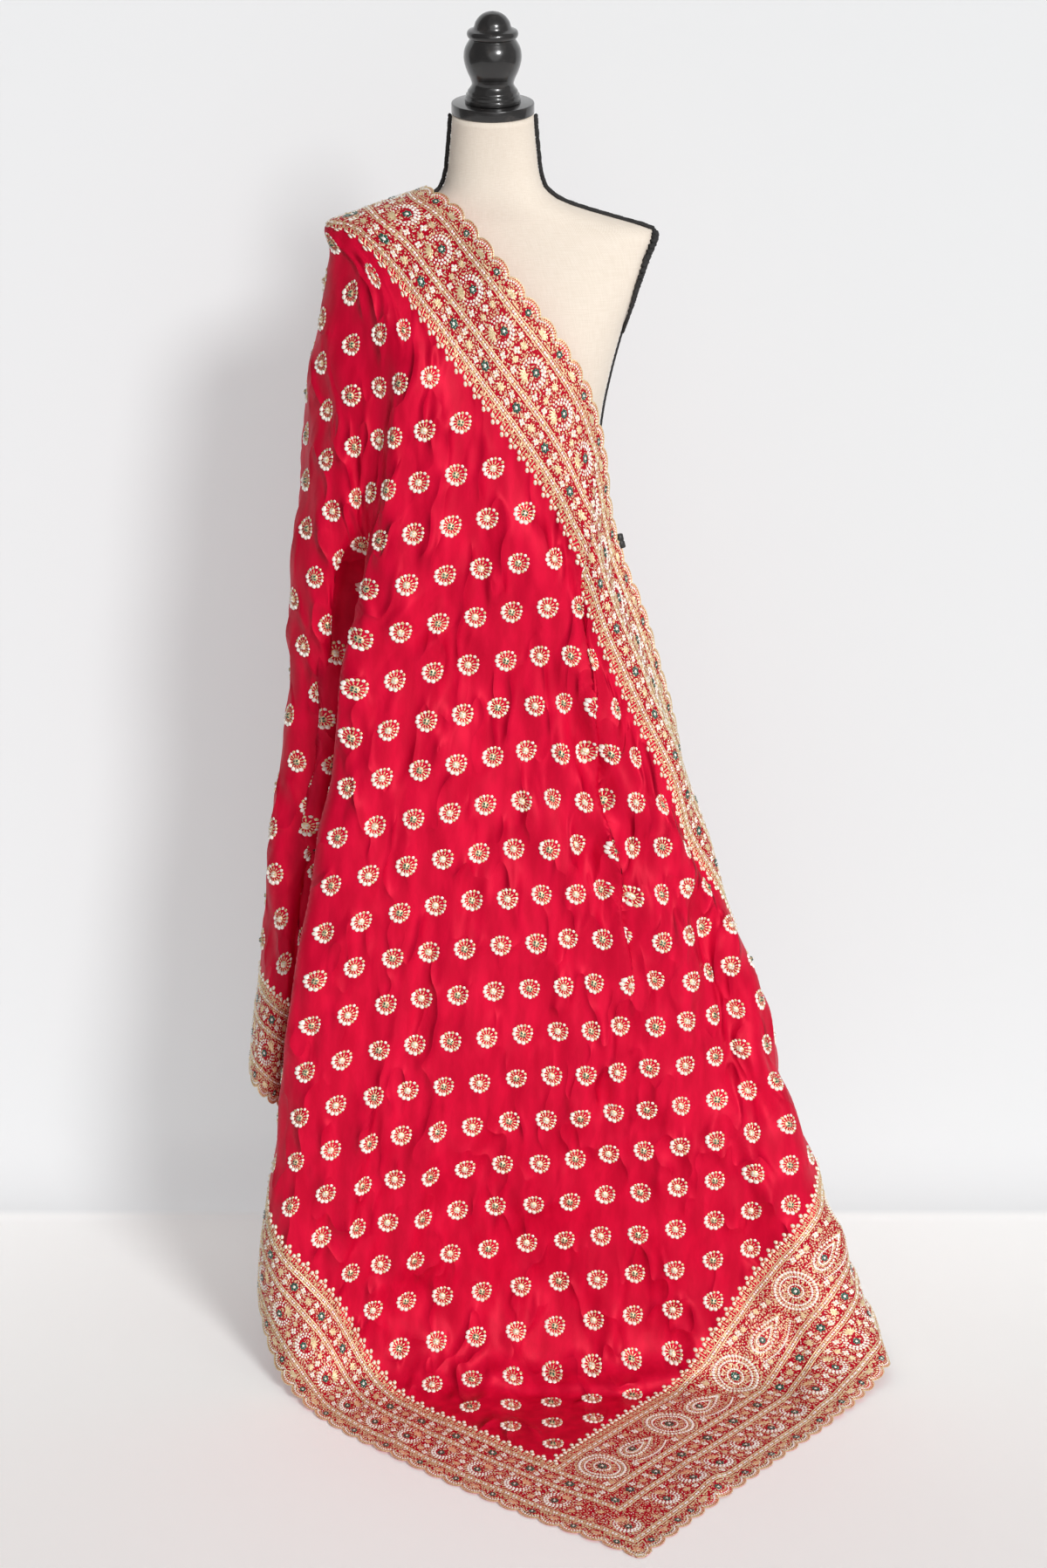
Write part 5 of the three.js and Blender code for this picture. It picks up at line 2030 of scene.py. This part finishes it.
@dataclass
class DressForm:
    """The limbless form, its black braids, its turned top and its stand."""

    shape: FormShape
    ring_sides: int = 112
    ring_gap: float = 7 * MM
    disc_radius: float = 47.5 * MM
    disc_height: float = 13 * MM
    gap: float = .4 * MM
    armhole_low: float = 1.272
    shoulder_tip: float = 1.387
    armhole_spread: float = .3
    strand: float = .24             # a strand's radius, in widths of the whole braid
    strand_aside: float = .27       # how far it swings aside, and out
    strand_out: float = .12

    def cover(self) -> bpy.types.Object:
        """The padded torso in its cream cover.

        Returns:
            It as a mesh object.
        """
        shape = self.shape
        count = round((shape.neck_top - shape.hem) / self.ring_gap)
        levels = np.linspace(shape.hem, shape.neck_top, count + 1)
        angles = np.arange(self.ring_sides) * TURN / self.ring_sides
        z, turn = np.meshgrid(levels, angles, indexing="ij")
        points = shape.point(z.ravel(), turn.ravel())
        sides = [(a, d, c, b) for a, b, c, d in grid_faces(len(levels), self.ring_sides, True)]
        last = (len(levels) - 1) * self.ring_sides
        ends = [range(self.ring_sides)[::-1], range(last, last + self.ring_sides)]
        piece = new_mesh("form_cover", points, sides + ends)
        return dress(piece, FormCover().make(), ["torso"])

    def turned_top(self, lacquer: bpy.types.Material) -> None:
        """The disc on the neck and the turned finial on it, tilted as the neck's top is.

        Args:
            lacquer: their material.
        """
        foot = self.shape.point(np.array([self.shape.neck_top]), np.array([0.0]))[0]
        place = (Matrix.Translation((0, foot[1], foot[2]))
                 @ Matrix.Rotation(self.shape.neck_tilt, 4, "X"))
        bevel = 1.5 * MM
        disc = [(0, self.gap), (self.disc_radius - bevel, self.gap)]
        for edge, height in ((-1, self.gap), (1, self.disc_height)):
            for angle in np.linspace(0, math.pi / 2, 5)[::edge]:
                disc.append((self.disc_radius - bevel * (1 - math.cos(angle)),
                             height - edge * bevel * (1 - math.sin(angle))))
        disc += [(0, self.disc_height)]
        top = self.disc_height + self.gap
        finial = [(0, top)] + [(radius, top + z) for radius, z in rounded(
            [(radius, z) for z, radius in FINIAL])]
        for name, profile, node in (("disc_cap", disc, "neck_disc"),
                                    ("turned_finial", finial, "finial")):
            piece = lathe(name, profile)
            piece.data.transform(place)
            dress(piece, lacquer, [node])

    def plait(self, name: str, path: np.ndarray, widths: Spot, node: str,
              cotton: bpy.types.Material) -> None:
        """A round braid of three strands along a line of places on the form.

        Args:
            name: the piece's name.
            path: the middle of the braid.
            widths: how thick it is at its start and at its end.
            node: the CAD node it stands for.
            cotton: its material.
        """
        lengths = run(path)
        pitch = max(widths) * 1.5
        steps = max(int(lengths[-1] / pitch * 7), 8)
        at = np.linspace(0, lengths[-1], steps)
        line = np.stack([np.interp(at, lengths, path[:, axis]) for axis in range(3)], axis=1)
        width = np.interp(at, [0, lengths[-1]], widths)
        way = ways(line)
        side = scaled(np.cross(way, line * (1, 1, 0) + (0, 0, .02)))
        out = np.cross(side, way)
        strands = []
        for strand in range(3):
            turn = (at / pitch + strand / 3) * TURN
            strands.append(line + side * (np.sin(turn) * width * self.strand_aside)[:, None]
                           + out * (np.cos(2 * turn) * width * self.strand_out)[:, None])
        dress(tubes(name, strands, width * self.strand, 5), cotton, [node])

    def braids(self, cotton: bpy.types.Material) -> None:
        """The braids on the shoulder seams, round the right armhole, and down the side seam.

        Args:
            cotton: their material.
        """
        shape = self.shape
        lift = 2.4 * MM
        for name, angle, start in (("left", math.pi, self.shoulder_tip + .012),
                                   ("right", 0.0, self.shoulder_tip)):
            z = np.linspace(start, shape.neck_top - 3 * MM, 26)
            path = shape.point(z, np.full_like(z, angle), lift) + (0, 0, lift / 2)
            self.plait(f"shoulder_tape_{name}", path, (8.5 * MM, 8.5 * MM),
                       f"shoulder_braid_{name}", cotton)
        part = np.linspace(0, 1, 16)
        for name, hand in (("front", -1), ("back", 1)):
            z = self.shoulder_tip - .003 + (self.armhole_low - self.shoulder_tip) * part
            spread = self.armhole_spread * np.sin(math.pi * (.08 + .9 * part)) ** .8
            path = shape.point(z, hand * spread, 3.2 * MM)
            self.plait(f"armhole_tape_{name}", path, (15 * MM, 5 * MM),
                       f"armhole_braid_{name}", cotton)
        z = np.linspace(self.armhole_low + .006, shape.hem, 60)
        path = shape.point(z, np.full_like(z, -.02), 1.8 * MM)
        self.plait("side_seam_cord", path, (4.6 * MM, 4.6 * MM), "side_seam_braid", cotton)

    def stand(self, lacquer: bpy.types.Material) -> None:
        """The round base, the pole, and the collar under the torso.

        Args:
            lacquer: the material of all but the pole.
        """
        steel = DullBlack("dark painted steel", 400, .32, .03 * MM, metallic=.6).make()
        for name, node, bevel, finish, slot in (
                ("round_base", "stand_base", 5 * MM, lacquer, "turned_wood"),
                ("steel_pole", "stand_pole", .6 * MM, steel, "pole_steel"),
                ("pole_collar", "stand_collar", 1.2 * MM, lacquer, "turned_wood")):
            low, high = (Vector(corner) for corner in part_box(node))
            radius = (high.x - low.x) / 2
            foot = radius * .6 if node == "stand_collar" else radius
            profile = [(0, low.z), (foot - .4 * MM, low.z), (foot, low.z + .4 * MM)]
            for angle in np.linspace(0, math.pi / 2, 7):
                profile.append((radius - bevel * (1 - math.cos(angle)),
                                high.z - bevel * (1 - math.sin(angle))))
            profile.append((0, high.z))
            dress(lathe(name, profile), finish, [node])

    def clip(self) -> None:
        """The small dark clip that pins the cloth's edge at the waist."""
        low, high = (Vector(corner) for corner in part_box("waist_clip"))
        middle = (low + high) / 2
        lean = -.25
        half = (high.z - low.z) / 2
        wide = (high.y - low.y) / 2
        profile = [(0, -half), (wide * .8, -half), (wide, -half * .9), (wide, -half * .2),
                   (wide * .86, 0), (wide, half * .2), (wide, half * .9), (wide * .8, half),
                   (0, half)]
        piece = lathe("edge_clip", profile, 24)
        piece.data.transform(Matrix.Translation(middle) @ Matrix.Rotation(lean, 4, "Y"))
        plastic = DullBlack("plain dark plastic", 500, .45, .05 * MM).make()
        dress(piece, plastic, ["waist_clip"])

    def build(self) -> bpy.types.Object:
        """Makes the whole form.

        Returns:
            Its cover.
        """
        lacquer = BlackLacquer().make()
        cotton = DullBlack("black braid cotton", 900, .85, .2 * MM).make()
        cover = self.cover()
        self.turned_top(lacquer)
        self.braids(cotton)
        self.stand(lacquer)
        self.clip()
        return cover


# ---- the studio ----

@dataclass(frozen=True)
class Studio:
    """A plain pale floor and wall, soft light, and the camera."""

    eye: Place = (.035, -3.87, 1.78)
    pitch: float = math.radians(90 - 15.3)
    lens: float = 76.1
    wall_y: float = .46
    reach: float = 4
    cove: float = .1
    foot: float = 6 * MM
    floor_colour: Colour = (.86, .855, .845)
    floor_glow: float = .2
    wall_colour: Colour = (.455, .46, .465)
    wall_glow: float = .76

    def camera(self) -> None:
        """Makes the scene's camera."""
        data = bpy.data.cameras.new("camera")
        data.lens = self.lens
        data.sensor_width = 36
        camera = bpy.data.objects.new("camera", data)
        camera.location = self.eye
        camera.rotation_euler = (self.pitch, 0, 0)
        bpy.context.scene.collection.objects.link(camera)
        bpy.context.scene.camera = camera

    def matt(self, name: str, is_wall: bool) -> bpy.types.Material:
        """A plain matt colour with a soft glow.

        Args:
            name: the material's name.
            is_wall: whether it is the wall's, which has the floor's colour at its foot, and
                is clear from behind so that it hides nothing.

        Returns:
            The material.
        """
        paint = Paint(name)
        height = paint.split(paint.place())[2]
        share = height.rise(0, self.foot) if is_wall else 0
        glow = [tuple(part * strength for part in colour) for colour, strength in (
            (self.floor_colour, self.floor_glow), (self.wall_colour, self.wall_glow))]
        matt = paint.wire("ShaderNodeBsdfDiffuse", {}, {
            "Color": paint.mix(share, self.floor_colour, self.wall_colour)})
        lit = paint.wire("ShaderNodeEmission", {}, {"Color": paint.mix(share, *glow)})
        shader = paint.wire("ShaderNodeAddShader", {}, {0: matt, 1: lit})
        if is_wall:
            back = paint.wire("ShaderNodeNewGeometry", out="Backfacing")
            clear = paint.wire("ShaderNodeBsdfTransparent")
            shader = paint.wire("ShaderNodeMixShader", {}, {0: back, 1: shader, 2: clear})
        paint.node("ShaderNodeOutputMaterial", {}, {"Surface": shader})
        return paint.material

    def backdrop(self) -> None:
        """The floor, and a wall that curves up from it."""
        reach = self.reach
        floor = new_mesh("floor", [(-reach, -reach, 0), (reach, -reach, 0), (reach, reach, 0),
                                   (-reach, reach, 0)], [(0, 1, 2, 3)])
        floor.data.materials.append(self.matt("pale floor", False))
        profile = [(self.wall_y - self.cove, .0005)]
        profile += [(self.wall_y - self.cove + self.cove * math.sin(a),
                     self.cove - self.cove * math.cos(a) + .0005)
                    for a in np.linspace(.06, math.pi / 2, 14)]
        profile.append((self.wall_y, 2.6))
        points = [(x, y, z) for y, z in profile for x in (-1.6, 1.6)]
        faces = [(2 * i, 2 * i + 1, 2 * i + 3, 2 * i + 2) for i in range(len(profile) - 1)]
        wall = new_mesh("wall", points, faces)
        wall.data.materials.append(self.matt("pale wall", True))

    def light(self, name: str, start: Place, spread: float, strength: float) -> None:
        """One soft even light.

        Args:
            name: its name.
            start: the side that it comes from.
            spread: how wide it looks, in degrees.
            strength: how bright it is.
        """
        data = bpy.data.lights.new(name, "SUN")
        data.angle = math.radians(spread)
        data.energy = strength
        lamp = bpy.data.objects.new(name, data)
        lamp.location = start
        lamp.rotation_euler = (-Vector(start)).to_track_quat("-Z", "Y").to_euler()
        bpy.context.scene.collection.objects.link(lamp)

    def build(self) -> None:
        """Sets up the whole studio."""
        self.camera()
        self.backdrop()
        self.light("key light", (1.35, -2.8, 1.35), 13, 2.15)
        self.light("front fill light", (.6, -3.0, .5), 50, .42)
        self.light("room light", (1.2, -1.2, 1.0), 130, .42)
        world = bpy.data.worlds.new("world")
        world.use_nodes = True
        air = Graph(world.node_tree)
        sky = air.wire("ShaderNodeBackground", {}, {"Color": (1, .99, .985, 1), "Strength": .2})
        air.node("ShaderNodeOutputWorld", {}, {"Surface": sky})
        bpy.context.scene.world = world
        bpy.context.scene.view_settings.view_transform = "Standard"


def main() -> None:
    """Builds each part of the scene in order."""
    logging.basicConfig(level=logging.INFO, format="%(message)s")
    Studio().build()
    drape = Drape(FormShape())
    sari = Sari(drape)
    cloth = sari.build()
    stretches = [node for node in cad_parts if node.startswith(
        ("pallu", "front_panel", "side_fall", "back_fall"))]
    dress(cloth, Satin().make(drape), stretches)
    work = Embroidery(sari).build()
    bpy.data.objects.remove(sari.guide)
    cover = DressForm(drape.form).build()


if __name__ == "__main__":
    main()
